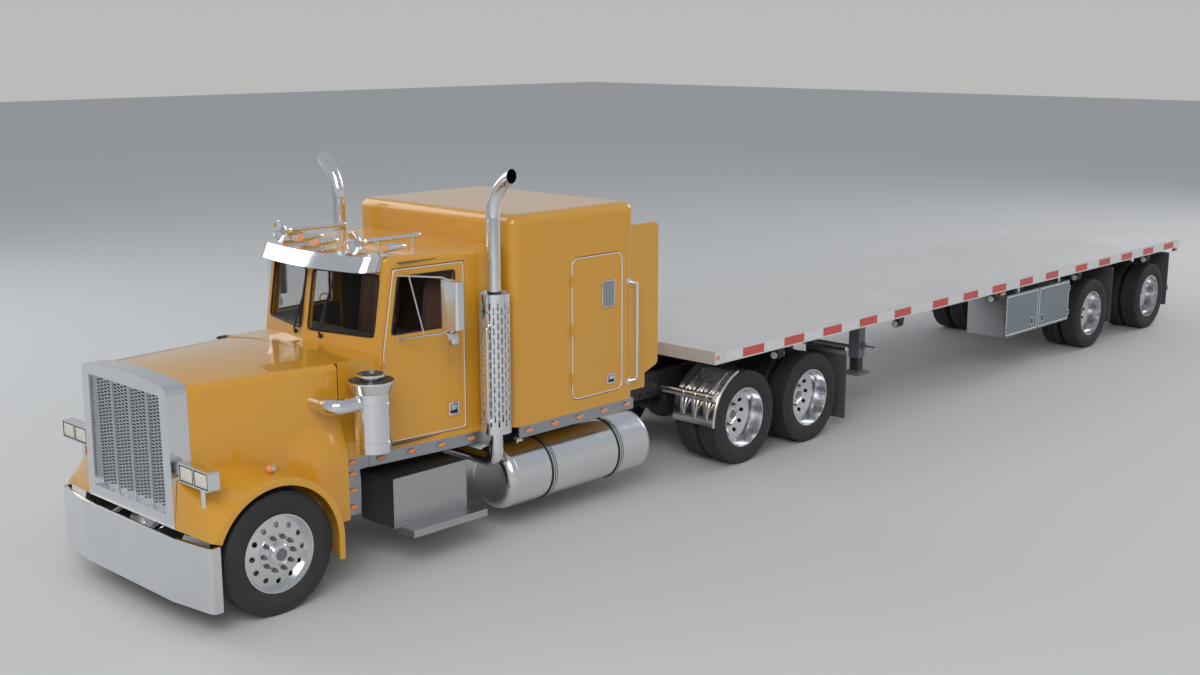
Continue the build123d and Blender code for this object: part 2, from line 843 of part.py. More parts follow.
def shell_form():
    """The radiator shell's outer form, a seat's gap larger than the shell itself."""
    face = shell_outline(shell_half_bottom + seat_gap, hood_front_half + seat_gap, shell_bottom_z, shell_edge_z + seat_gap,
                         shell_crown, shell_corner, shell_front_y - 1)
    return extrude(face, amount=hood_front_y - shell_front_y + 2, dir=(0, 1, 0))


def make_radiator_shell():
    depth = hood_front_y - 1 - shell_front_y
    outer = extrude(shell_outline(shell_half_bottom, hood_front_half, shell_bottom_z, shell_edge_z, shell_crown,
                                  shell_corner, shell_front_y), amount=depth, dir=(0, 1, 0))
    window = front_plate([(-grille_half_bottom, grille_bottom_z), (grille_half_bottom, grille_bottom_z),
                          (grille_half_top, grille_top_z), (-grille_half_top, grille_top_z)],
                         shell_front_y - 1, hood_front_y + 1)
    cavity = front_plate([(-shell_half_bottom + 12, shell_bottom_z + 12), (shell_half_bottom - 12, shell_bottom_z + 12),
                          (hood_front_half - 12, shell_edge_z - shell_corner), (hood_front_half - shell_corner, shell_edge_z - 12),
                          (-hood_front_half + shell_corner, shell_edge_z - 12), (-hood_front_half + 12, shell_edge_z - shell_corner)],
                         shell_front_y + grille_recess + 30, hood_front_y + 1)
    shell = outer - window - cavity
    # Cranked lugs from the pivot tube up to the shell's floor
    r = hood_lug_radius
    heel_y, heel_z = hood_pivot_y + hood_lug_heel[0], hood_pivot_z + hood_lug_heel[1]
    length = hypot(*hood_lug_heel)
    ny, nz = -hood_lug_arm * hood_lug_heel[1] / length, hood_lug_arm * hood_lug_heel[0] / length
    for side in (-1, 1):
        x0, x1 = side * (hood_lug_x - hood_lug_half), side * (hood_lug_x + hood_lug_half)
        shell += shaft(x0, x1, hood_pivot_y, hood_pivot_z, r)
        outline = [(hood_pivot_y + ny, hood_pivot_z + nz), (hood_pivot_y - ny, hood_pivot_z - nz),
                   (heel_y - ny, heel_z - nz), (heel_y + ny, heel_z + nz)]
        shell += side_plate(outline, x0, x1)
        shell += block(x0, x1, heel_y - hood_lug_arm, heel_y + hood_lug_arm, heel_z - hood_lug_arm, shell_bottom_z + 2)
        shell -= shaft(x0 - side, x1 + side, hood_pivot_y, hood_pivot_z, hood_pivot_radius + running_fit)
    return shell


def make_grille():
    """Four panels of staggered slots between upright bars, set back in the radiator shell."""
    y0 = shell_front_y + grille_recess
    y1 = y0 + 8
    gap = glass_gap
    half_b, half_t = grille_half_bottom - gap, grille_half_top - gap
    plate = front_plate([(-half_b, grille_bottom_z + gap), (half_b, grille_bottom_z + gap),
                         (half_t, grille_top_z - gap), (-half_t, grille_top_z - gap)], y0, y1)
    panel_pitch = 2 * half_t / grille_panel_count
    rows = grille_slot_rows
    row_pitch = (grille_top_z - grille_bottom_z - 60) / rows
    columns = grille_slot_columns
    column_pitch = (panel_pitch - grille_bar - 16) / columns
    slots = []
    for panel in range(grille_panel_count):
        centre = (panel - (grille_panel_count - 1) / 2) * panel_pitch
        for column in range(columns):
            for row in range(rows):
                x = centre + (column - (columns - 1) / 2) * column_pitch
                lift = row_pitch / 2 if column % 2 else 0
                z = grille_bottom_z + 30 + (row + 0.25) * row_pitch + lift
                slots.append(Pos(x, (y0 + y1) / 2, z) * Box(column_pitch * 0.78, 20, row_pitch * 0.42))
    plate -= slots
    for index in range(1, grille_panel_count):
        x = (index - grille_panel_count / 2) * panel_pitch
        plate += block(x - grille_bar / 2, x + grille_bar / 2, y0 - 6, y0 + 1, grille_bottom_z + 1, grille_top_z - 1)
    return plate


def fender_face(x, points):
    """A slice of the fender: two arcs over the wheel, the nose, and lines down to the tail."""
    tail, flank, crest, brow, front, toe = points
    cy, cz = arch_centre_y, arch_centre_z
    low = [toe, (cy, cz), (cy, fender_tail_z), (tail[0], fender_tail_z), tail]
    edges = [ThreePointArc(tail, flank, crest), ThreePointArc(crest, brow, front), Line(front, toe)]
    edges += [Line(a, b) for a, b in zip(low, low[1:])]
    return Plane.YZ.offset(x) * make_face(Wire(edges))


def fender_form(side, inset, edge):
    """The fender's outer form, drawn inwards by inset. Each row of edge is (depth inboard, further inset)."""
    cy, cz = arch_centre_y, arch_centre_z

    def outer_face(depth, further):
        drop = inset + further
        r = arch_radius + fender_band - drop
        turns = [radians(turn) for turn in (0, 45, 90, (90 + fender_nose_start) / 2, fender_nose_start)]
        points = [(cy + r * cos(turn), cz + r * sin(turn)) for turn in turns]
        return fender_face(side * (fender_outer_x - depth), points + [(fender_nose[0] + drop, fender_nose[1])])
    inner = [(fender_inner_tail_y - inset, cz), (fender_inner_flank[0] - inset * 0.7, fender_inner_flank[1] - inset * 0.7),
             (fender_inner_crest[0], fender_inner_crest[1] - inset), (fender_inner_brow[0], fender_inner_brow[1] - inset),
             (fender_inner_front[0] + inset, fender_inner_front[1] - inset), (fender_inner_toe[0] + inset, fender_inner_toe[1])]
    faces = [fender_face(side * fender_inner_x, inner)] + [outer_face(*row) for row in edge]
    return loft(faces, ruled=True)


def make_front_fenders():
    """Each fender arches over its wheel and runs forward to the radiator shell."""
    fenders = []
    cy, cz = arch_centre_y, arch_centre_z
    for side in (-1, 1):
        fender = fender_form(side, 0, fender_edge) - fender_form(side, fender_wall, ((fender_wall, 0),))
        fender -= wheel_arch(0)
        fender -= block(side * 100, side * 1300, -1000, cy + arch_radius, 0, cz)
        fender -= hood_form(-0.8)
        fender -= block(0, side * (shell_half_bottom + 0.8), shell_front_y - 20, hood_front_y + 2, 0, 2500)
        # Marker lamp on the crown
        fender += post(side * fender_lamp_x, 0, cz + arch_radius + fender_band - 20, fender_lamp_z, 9)
        fender += Pos(side * fender_lamp_x, 0, fender_lamp_z) * Sphere(fender_lamp_radius)
        fenders.append(fender)
    return fenders


def make_headlamps():
    """A pair of lenses side by side in one case, on a post from the fender and an arm from the shell."""
    lamps = []
    for side in (-1, 1):
        x0, x1 = side * lamp_inner_x, side * lamp_outer_x
        case = block(x0, x1, lamp_front_y, lamp_front_y + lamp_depth, lamp_bottom_z, lamp_top_z)
        case = fillet(case.edges().filter_by(Axis.Y), lamp_corner)
        case = chamfer(case.faces().sort_by(Axis.Y)[-1].edges(), lamp_back_chamfer)
        half = (lamp_outer_x - lamp_inner_x - 3 * lamp_rim) / 2
        for inner in (lamp_inner_x + lamp_rim, lamp_inner_x + 2 * lamp_rim + half):
            spot = Pos(side * (inner + half / 2), lamp_front_y + lamp_recess / 2, (lamp_bottom_z + lamp_top_z) / 2)
            case -= spot * Box(half, lamp_recess, lamp_top_z - lamp_bottom_z - 2 * lamp_rim)
            lens = Pos(side * (inner + half / 2), lamp_front_y + lamp_recess - lamp_lens / 2, (lamp_bottom_z + lamp_top_z) / 2)
            lamps.append(lens * Box(half - 1, lamp_lens, lamp_top_z - lamp_bottom_z - 2 * lamp_rim - 1))
        arm_y = lamp_front_y + lamp_depth - 50
        arm = block(side * (shell_half_bottom - 6), x0 + side * 20, arm_y - 16, arm_y + 16, lamp_bottom_z + 30, lamp_top_z - 40)
        arm -= shell_form()
        post_x = side * (lamp_inner_x + lamp_outer_x) / 2
        stem = post(post_x, lamp_front_y + 84, lamp_post_bottom_z, lamp_bottom_z + 1, lamp_post_radius)
        stem -= fender_form(side, -seat_gap, fender_edge)
        lamps.append(case + arm + stem)
    return lamps


def make_bumper():
    """A bent sheet with its ends turned back and its top edge turned in."""
    fy, ey, ry = bumper_front_y, bumper_end_y, bumper_return_y
    fh, sx = bumper_flat_half, bumper_side_x
    outer = [(-sx, ry), (-sx, ey + 20), (-sx + 40, ey), (-fh, fy), (fh, fy), (sx - 40, ey), (sx, ey + 20), (sx, ry)]

    def band(t):
        return outer + [(sx - t, ry), (sx - t, ey + 22), (sx - 36 - t, ey + t), (fh - 1, fy + t), (-fh + 1, fy + t),
                        (-sx + 36 + t, ey + t), (-sx + t, ey + 22), (-sx + t, ry)]
    sheet = plan_plate(band(bumper_sheet), bumper_bottom_z, bumper_top_z)
    return sheet + plan_plate(band(bumper_lip), bumper_top_z - bumper_sheet, bumper_top_z)


# Cab

def cab_form(inset, bottom_z, top_z, rear_y):
    def outline(z):
        front = screen_plane_y(0, z) + inset * 1.03
        side_front_x = cab_front_half - inset
        side_front_y = screen_plane_y(side_front_x, z) + inset * 1.03
        rear_x = cab_side_x(rear_y) - inset
        side_front_x += cab_side_taper * (side_front_y - cab_pillar_y)
        points = [(0, front), (side_front_x, side_front_y), (rear_x, rear_y), (-rear_x, rear_y), (-side_front_x, side_front_y)]
        return Plane.XY.offset(z) * make_face(Polyline(*points, close=True))
    return loft([outline(bottom_z), outline(top_z)], ruled=True)


def door_outline(gap):
    return [(door_front_y + gap, door_bottom_z + gap), (door_rear_y - gap, door_bottom_z + gap),
            (door_rear_y - gap, door_top_z - gap), (door_pillar_y + gap, door_top_z - gap),
            (door_front_y + gap, door_pillar_z)]


def window_outline(gap):
    return [(window_lower_front_y + gap, window_bottom_z + gap), (window_rear_y - gap, window_bottom_z + gap),
            (window_rear_y - gap, window_top_z - gap), (window_front_y + gap, window_top_z - gap)]


def screen_outline(gap, low_z, high_z):
    """One windscreen opening seen from the front, in (x, z)."""
    return [(screen_post_half + gap, low_z + gap), (screen_outer_x - gap, low_z + gap),
            (screen_outer_x - gap, high_z - gap), (screen_post_half + gap, high_z - gap)]


def cab_walls():
    outer = cab_form(0, cab_floor_z, cab_top_z, cab_rear_y)
    roof_edges = outer.faces().sort_by(Axis.Z)[-1].edges()
    outer = fillet([edge for edge in roof_edges if abs(edge.center().Y - cab_rear_y) > 5], 60)
    inner = cab_form(cab_wall, cab_floor_z + cab_wall, cab_top_z - cab_wall, cab_rear_y + 1)
    return outer - inner


def door_hinges(side):
    """The cab door's hinges as (fixed, moving) pairs."""
    surface = cab_side_x(door_front_y)
    x0, x1 = side * (surface - 6), side * (surface + hinge_radius - 1)
    y = door_front_y
    return [hinge(side * (surface + hinge_radius + 2), y, z, hinge_radius, hinge_half_height,
                  (x0, x1, y - hinge_leaf, y), (x0, x1, y, y + hinge_leaf)) for z in door_hinge_heights]


def make_cab_shell(walls):
    cab = walls
    for side in (-1, 1):
        cab -= side_plate(door_outline(0), side * (cab_front_half - 120), side * (cab_front_half + 260))
        pane = [(side * x, z) for x, z in screen_outline(0, screen_z, screen_top_z)]
        cab -= front_plate(pane, 900, 1480)
        for fixed, moving in door_hinges(side):
            cab += fixed
    # Cowl ahead of the doors
    cowl_outer = block(-cowl_half, cowl_half, cowl_front_y, 1330, cab_floor_z, hood_edge_z)
    crown = [(-cowl_half, hood_edge_z - 1), (-cowl_half * 0.5, hood_edge_z + hood_crown * 0.75), (0, hood_edge_z + hood_crown),
             (cowl_half * 0.5, hood_edge_z + hood_crown * 0.75), (cowl_half, hood_edge_z - 1)]
    cowl_outer += front_plate(crown, cowl_front_y, 1330)
    w = hood_wall
    cowl_inner = block(-cowl_half + w, cowl_half - w, cowl_front_y - 1, 1400, cab_floor_z - 1, hood_edge_z - w)
    cowl = cowl_outer - cowl_inner - cab_form(1, cab_floor_z - 2, cab_top_z, cab_rear_y)
    cab += cowl
    return cab


def make_windscreen():
    panes = []
    depth = glass_thickness / 2
    for side in (-1, 1):
        slab = cab_form(cab_wall / 2 - depth, screen_z - 100, screen_top_z + 100, cab_rear_y)
        slab -= cab_form(cab_wall / 2 + depth, screen_z - 101, screen_top_z + 101, cab_rear_y + 1)
        pane = [(side * x, z) for x, z in screen_outline(glass_gap, screen_z, screen_top_z)]
        panes.append(slab & front_plate(pane, 900, 1480))
    return panes


def door_slab(walls, side):
    door = walls & side_plate(door_outline(joint_gap), side * (cab_front_half - 120), side * (cab_front_half + 260))
    door -= side_plate(window_outline(0), side * (cab_front_half - 120), side * (cab_front_half + 260))
    y = (door_latch_front_y + door_latch_rear_y) / 2
    latch = block(side * (cab_side_x(y) - 12), side * (cab_side_x(y) + 12), door_latch_front_y, door_latch_rear_y,
                  door_latch_bottom_z, door_latch_top_z)
    for fixed, moving in door_hinges(side):
        door += moving
    return door + latch


def door_glass(side):
    depth = glass_thickness / 2
    slab = cab_form(cab_wall / 2 - depth, window_bottom_z - 100, window_top_z + 40, cab_rear_y - 100)
    slab -= cab_form(cab_wall / 2 + depth, window_bottom_z - 101, window_top_z + 41, cab_rear_y)
    return slab & side_plate(window_outline(glass_gap), side * (cab_front_half - 120), side * (cab_front_half + 260))


def make_mirror(side):
    """A housing on two arms joined by a strut, with a round convex mirror under it."""
    x, y = side * mirror_x, mirror_y
    head = block(x - mirror_width / 2, x + mirror_width / 2, y, y + mirror_depth, mirror_bottom_z, mirror_top_z)
    head = fillet(head.edges().filter_by(Axis.Z), mirror_corner)
    convex = Pos(x, y + 40, mirror_bottom_z - 95) * Rot(90, 0, 0) * Cylinder(mirror_convex_radius, 40)
    r, pad_r = mirror_arm_radius, mirror_pad_radius
    head_side, head_back = mirror_width / 2 - 15, mirror_depth / 2
    upper_y, lower_y = mirror_arm_root_y
    pad_x = side * (cab_side_x(upper_y) + cab_side_taper * pad_r + seat_gap)
    root_x = pad_x + side * (mirror_pad_thickness - 1)
    upper = (root_x, upper_y, mirror_top_z + 25)
    lower = (root_x, lower_y, mirror_bottom_z - 120)
    upper_knee = (x - side * head_side, y + 20, mirror_top_z + 20)
    lower_knee = (x - side * head_side, y + 10, mirror_bottom_z - 55)
    mirror = head + convex
    for root, knee, end_z in ((upper, upper_knee, mirror_top_z - 8), (lower, lower_knee, mirror_bottom_z + 8)):
        mirror += shaft(pad_x, pad_x + side * mirror_pad_thickness, root[1], root[2], pad_r)
        mirror += tube_along([root, knee, (x, y + head_back, end_z)], r, 20)
    strut = [tuple(a + (b - a) * share for a, b in zip(root, knee))
             for root, knee, share in ((upper, upper_knee, 0.25), (lower, lower_knee, 0.6))]
    mirror += tube_along(strut, r - 2, 0)
    return mirror + post(x, y + 40, mirror_bottom_z - 60, mirror_bottom_z + 4, r)


def make_interior():
    outline = [(screen_y - 100, dash_bottom_z), (dash_rear_y, dash_bottom_z), (dash_rear_y, dash_rear_top_z),
               (dash_rear_y - 120, dash_top_z), (screen_y - 100, dash_top_z)]
    dash = side_plate(outline, -dash_half, dash_half) & cab_form(cab_wall + seat_gap, cab_floor_z, cab_top_z, cab_rear_y)
    boss = steering_place() * Pos(0, 0, -column_length - seat_gap - 75) * Cylinder(column_radius + 14, 150)
    pieces = [dash + boss]
    for x in (-480, 480):
        base = block(x - 160, x + 160, 2010, 2330, cab_floor_z + cab_wall + seat_gap, 1560)
        cushion = block(x - 260, x + 260, 1900, 2420, 1558, 1680)
        back = side_plate([(2330, 1679), (2440, 1679), (2540, 2420), (2440, 2420)], x - 250, x + 250)
        pieces.append(base + cushion + back)
    return pieces


def steering_place():
    """Where the steering wheel sits, tilted to the driver, with the column's axis along its own z."""
    return Pos(steering_x, steering_y, steering_z) * Rot(-steering_tilt, 0, 0)


def make_steering_wheel():
    """The wheel and its column shaft, built upright and then tilted."""
    wheel = Torus(225, 15) + Cylinder(60, 40) + Box(430, 34, 12) + Box(34, 430, 12)
    wheel += Pos(0, 0, -column_length / 2) * Cylinder(column_radius, column_length)
    return steering_place() * wheel


# Sleeper

def sleeper_door_form(gap):
    """The side door's prism, cut through the left-hand wall."""
    height = sleeper_door_top_z - sleeper_door_bottom_z
    length = sleeper_door_rear_y - sleeper_door_front_y
    middle = ((sleeper_door_front_y + sleeper_door_rear_y) / 2, (sleeper_door_bottom_z + sleeper_door_top_z) / 2)
    face = Pos(*middle) * RectangleRounded(length - 2 * gap, height - 2 * gap, sleeper_door_corner - gap)
    return extrude(Plane.YZ.offset(sleeper_half - sleeper_wall - 5) * face, amount=sleeper_wall + 10)


def sleeper_walls():
    outer = block(-sleeper_half, sleeper_half, sleeper_front_y, sleeper_rear_y, cab_floor_z, sleeper_top_z)
    outer = fillet([edge for edge in outer.edges() if edge.center().Z > cab_floor_z + 10], sleeper_corner)
    w = sleeper_wall
    inner = block(-sleeper_half + w, sleeper_half - w, sleeper_front_y + w, sleeper_rear_y - w,
                  cab_floor_z + w, sleeper_top_z - w)
    inner = fillet([edge for edge in inner.edges() if edge.center().Z > cab_floor_z + w + 10], sleeper_corner - w)
    return outer - inner


def sleeper_hinges():
    x0, x1 = sleeper_half - 6, sleeper_half + 5
    y = sleeper_door_front_y
    return [hinge(sleeper_half + hinge_radius + 2, y, z, hinge_radius, hinge_half_height,
                  (x0, x1, y - hinge_leaf, y), (x0, x1, y, y + hinge_leaf)) for z in sleeper_hinge_heights]


def make_sleeper(walls):
    doorway = block(-500, 500, sleeper_front_y - 1, sleeper_front_y + sleeper_wall + 1,
                    cab_floor_z + cab_wall, cab_top_z - cab_wall - 150)
    sleeper = walls - doorway - sleeper_door_form(0)
    for fixed, moving in sleeper_hinges():
        sleeper += fixed
    start = sleeper_rear_y - sleeper_corner / 2
    for side in (-1, 1):
        outline = [(start, extender_bottom_z), (extender_low_rear_y, extender_bottom_z),
                   (extender_low_rear_y, extender_step_z - 40), (extender_rear_y, extender_step_z + 30),
                   (extender_rear_y, extender_top_z), (start, extender_top_z)]
        outer = sleeper_half - extender_inset
        wing = side_plate(outline, side * (outer - extender_wall), side * outer)
        rear_edges = [edge for edge in wing.edges().filter_by(Axis.X) if edge.center().Y > extender_rear_y - 5]
        sleeper += fillet(rear_edges, extender_corner)
        handle_x = side * (sleeper_half + handle_reach)
        root_x = side * (sleeper_half - 2)
        sleeper += tube_along([(root_x, handle_y, handle_top_z), (handle_x, handle_y + 60, handle_top_z - 20),
                               (handle_x, handle_y + 60, handle_bottom_z + 20), (root_x, handle_y, handle_bottom_z)],
                              handle_radius, 36)
    return sleeper


def make_sleeper_door(walls):
    door = walls & sleeper_door_form(joint_gap)
    vent = block(sleeper_half - 1, sleeper_half + 10, 3830, 4010, 2066, 2330)
    louvres = [block(sleeper_half + 4, sleeper_half + 11, 3845, 3995, z, z + 14) for z in range(2086, 2306, 28)]
    latch = block(sleeper_half - 1, sleeper_half + 8, 3903, 4018, 1279, 1379)
    for fixed, moving in sleeper_hinges():
        door += moving
    return door + (vent - louvres) + latch


# Outside fittings

def make_skirts():
    skirts = []
    top = cab_floor_z - seat_gap
    for side in (-1, 1):
        y0, y1 = cowl_strip_front_y, cab_rear_y - 120
        x0, x1 = side * (cab_side_x(1163)), side * (cab_side_x(y1))
        s = side * skirt_wall
        cab_part = plan_plate([(x0, 1163), (x1, y1), (x1 - s, y1), (x0 - s, 1163)], skirt_bottom_z, top)
        for y in cab_lamp_stations:
            cab_part += side_lamp(side, cab_side_x(y), y, skirt_bottom_z + 62)
        strip_x = side * cowl_half
        strip = block(strip_x - s, strip_x, cowl_strip_front_y, 1165, skirt_bottom_z, top)
        strip += block(strip_x - s, strip_x, cowl_strip_front_y, cowl_strip_rear_y, skirt_panel_bottom_z, skirt_bottom_z + 1)
        for z in cowl_lamp_heights:
            strip += side_lamp(side, cowl_half, (cowl_strip_front_y + cowl_strip_rear_y) / 2, z)
        cab_part += strip
        skirts.append(cab_part)
        sleeper_part = block(side * (sleeper_half - skirt_wall), side * sleeper_half, sleeper_front_y + 60,
                             sleeper_rear_y - 20, skirt_bottom_z, top)
        for y in sleeper_lamp_stations:
            sleeper_part += side_lamp(side, sleeper_half, y, skirt_bottom_z + 60)
        skirts.append(sleeper_part)
    return skirts


def side_lamp(side, x, y, z):
    lens = extrude(Ellipse(side_lamp_height / 2, side_lamp_length / 2), amount=side * (side_lamp_depth + 2))
    return Pos(side * (x - 2), y, z) * Rot(0, 90, 0) * lens


def make_step_boxes():
    boxes = []
    for side in (-1, 1):
        box_piece = block(side * step_box_inner_x(), side * step_box_face_x, step_box_front_y, step_box_rear_y,
                          step_box_bottom_z, step_box_top_z)
        tread = block(side * (step_box_face_x - 1), side * step_tread_x, step_box_front_y + 70, step_box_rear_y + 90,
                      step_box_bottom_z - 60, step_box_bottom_z - 60 + step_tread_thickness)
        under = block(side * (step_box_inner_x() + 200), side * (step_box_face_x), step_box_front_y + 70, step_box_rear_y,
                      step_box_bottom_z - 60, step_box_bottom_z + 1)
        boxes.append(box_piece + tread + under)
    return boxes


def make_tanks():
    length = tank_rear_y - tank_front_y
    middle = (tank_rear_y + tank_front_y) / 2
    tank = Rot(90, 0, 0) * Cylinder(tank_radius, length)
    tank = fillet(tank.edges().filter_by(GeomType.CIRCLE), tank_dome)
    for y in tank_strap_stations:
        tank += Pos(0, y - middle, 0) * Rot(90, 0, 0) * Cylinder(tank_radius + tank_strap_thickness, tank_strap_width)
    return [Pos(side * tank_x, middle, tank_z) * tank for side in (-1, 1)]


def make_shield():
    """A tube of staggered upright slots round the stack."""
    shield = Cylinder(shield_radius, shield_top_z - shield_bottom_z)
    shield -= Cylinder(shield_radius - shield_wall, shield_top_z - shield_bottom_z + 2)
    pitch = (shield_top_z - shield_bottom_z - 2 * shield_collar - shield_slot_height) / (shield_slot_rows - 1)
    cuts = []
    for row in range(shield_slot_rows):
        z = (row - (shield_slot_rows - 1) / 2) * pitch
        for column in range(shield_slot_columns):
            turn = (column + (row % 2) / 2) * 360 / shield_slot_columns
            slot = Pos(shield_radius, 0, 0) * Box(4 * shield_wall, shield_slot_width, shield_slot_height)
            cuts.append(Pos(0, 0, z) * Rot(0, 0, turn) * slot)
    shield -= cuts
    lid = Cylinder(shield_radius - shield_wall + 1, shield_wall) - Cylinder(stack_radius - 1, shield_wall + 2)
    half = (shield_top_z - shield_bottom_z) / 2
    return shield + Pos(0, 0, half - 30) * lid + Pos(0, 0, -half + 30) * lid


def make_exhausts():
    shield = make_shield()
    x = stack_x
    slope = radians(stack_end_slope)
    end = (x + stack_end_run * cos(slope), stack_y, stack_corner_z + stack_end_run * sin(slope))
    top = [(x, stack_y, stack_elbow_z + 200), (x, stack_y, stack_corner_z), end]
    pipe = tube_along(top, stack_radius, stack_bend)
    bore = tube_along([(x, stack_y, shield_top_z + 200), top[1], (end[0] + 5 * cos(slope), stack_y, end[2] + 5 * sin(slope))],
                      stack_radius - stack_wall, stack_bend)
    pipe -= block(stack_cut_x, x + 600, stack_y - 200, stack_y + 200, stack_corner_z - 100, 4000)
    lower = tube_along([(x, stack_y, shield_bottom_z + 40), (x, stack_y, stack_elbow_z),
                        (rail_outer_x + seat_gap, stack_y, stack_elbow_z)], stack_radius, 110)
    stack = (pipe - bore) + lower + Pos(x, stack_y, (shield_bottom_z + shield_top_z) / 2) * shield
    for z in stack_bracket_heights:
        stack += block(cab_side_x(stack_y + 20) + seat_gap, x, stack_y - 20, stack_y + 20, z - 15, z + 15) - post(x, stack_y, z - 20, z + 20, shield_radius - 1)
    return [stack, mirrored(stack)]


def make_air_cleaners():
    cleaners = []
    for side in (-1, 1):
        x = side * cleaner_x
        z0, z1 = cleaner_bottom_z, cleaner_top_z
        r = cleaner_radius
        body = post(x, cleaner_y, z0, z1 - 110, r)
        for z in (z0 + 60, z0 + 400):
            body += post(x, cleaner_y, z, z + 34, r + 6)
        rim, neck, cap = cleaner_rim_radius, cleaner_neck_radius, cleaner_cap_radius
        lip = cleaner_rim_lip
        bell = [(0, z1 - 160), (r, z1 - 160), (r + 12, z1 - 150), (rim, z1 - 72), (rim, z1 - 56), (rim - lip, z1 - 56),
                (rim - lip, z1 - 56 - cleaner_recess), (neck, z1 - 56 - cleaner_recess), (neck, z1 - 30), (cap, z1 - 18),
                (cap, z1), (cap - lip, z1), (cap - lip, z1 - cleaner_recess), (0, z1 - cleaner_recess)]
        body += Pos(x, cleaner_y, 0) * revolve(make_face(Polyline(*[(px, 0, pz) for px, pz in bell], close=True)), Axis.Z)
        elbow = intake_elbow() if side > 0 else mirrored(intake_elbow())
        body += elbow & block(side * intake_split_x, side * 1400, 0, 1200, 1000, 2000)
        mount = block(side * (cowl_half + seat_gap), x, cleaner_y - 5, cleaner_y + 60, z0 + 90, z0 + 160)
        mount += block(side * (cowl_half + seat_gap), x, cleaner_y - 5, cleaner_y + 60, z1 - 250, z1 - 200)
        cleaners.append(body + mount)
    return cleaners


def visor_form(bottom_z, top_z, inset):
    """The visor as a solid bow from the windscreen's plane, between two heights and drawn inwards by inset."""
    low_z, high_z = visor_bottom_z, cab_top_z + seat_gap + visor_sheet
    faces = []
    for z in (bottom_z, top_z):
        share = (z - low_z) / (high_z - low_z)

        def spot(mark, way):
            x, low_y, high_y = mark
            drop = inset if x < visor_side[0] else inset / 2
            return (way * (x - (inset if x > visor_corner[0] else 0)), low_y + (high_y - low_y) * share + drop, z)
        middle = spot(visor_middle, 1)
        bow = ThreePointArc(spot(visor_corner, -1), middle, spot(visor_corner, 1))
        ends = [ThreePointArc(spot(visor_corner, way), spot(visor_side, way), spot(visor_end, way)) for way in (-1, 1)]
        rear = (0, screen_plane_y(0, cab_top_z) + visor_seat, z)
        sides = []
        for way in (-1, 1):
            x, y, _ = spot(visor_end, way)
            corner = (x, screen_plane_y(x, cab_top_z) + visor_seat, z)
            sides += [Line((x, y, z), corner), Line(corner, rear)]
        faces.append(make_face(Wire([bow, ends[0], sides[0], sides[1], sides[3], sides[2], ends[1]])))
    return loft(faces, ruled=True)


def make_visor():
    """A bowed sheet visor, folded back on to the roof's front edge."""
    top_z = cab_top_z + seat_gap + visor_sheet
    visor = visor_form(visor_bottom_z, top_z, 0) - visor_form(visor_bottom_z - 1, top_z - visor_sheet, visor_sheet)
    return visor - cab_form(-seat_gap, cab_floor_z, cab_top_z + seat_gap, cab_rear_y)


def make_horns():
    pieces = []
    roof = cab_top_z + seat_gap
    for x in horn_x:
        tube = bar_along_y(x, horn_bell_y + 20, horn_tail_y, horn_z, horn_tube_radius)
        bell = Pos(x, horn_bell_y + 50, horn_z) * Rot(90, 0, 0) * Cone(horn_tube_radius, horn_bell_radius, 100)
        end = Pos(x, horn_tail_y, horn_z) * Sphere(24)
        stands = post(x, horn_bell_y + 240, roof, horn_z, 12) + post(x, horn_tail_y - 60, roof, horn_z, 12)
        pieces.append(tube + bell + end + stands)
    for x in roof_lamp_x:
        y = screen_plane_y(x, cab_top_z) + 130
        lamp = bar_along_y(x, y - 60, y + 90, roof_lamp_z, 27)
        pieces.append(lamp + post(x, y, roof, roof_lamp_z, 16))
    return pieces


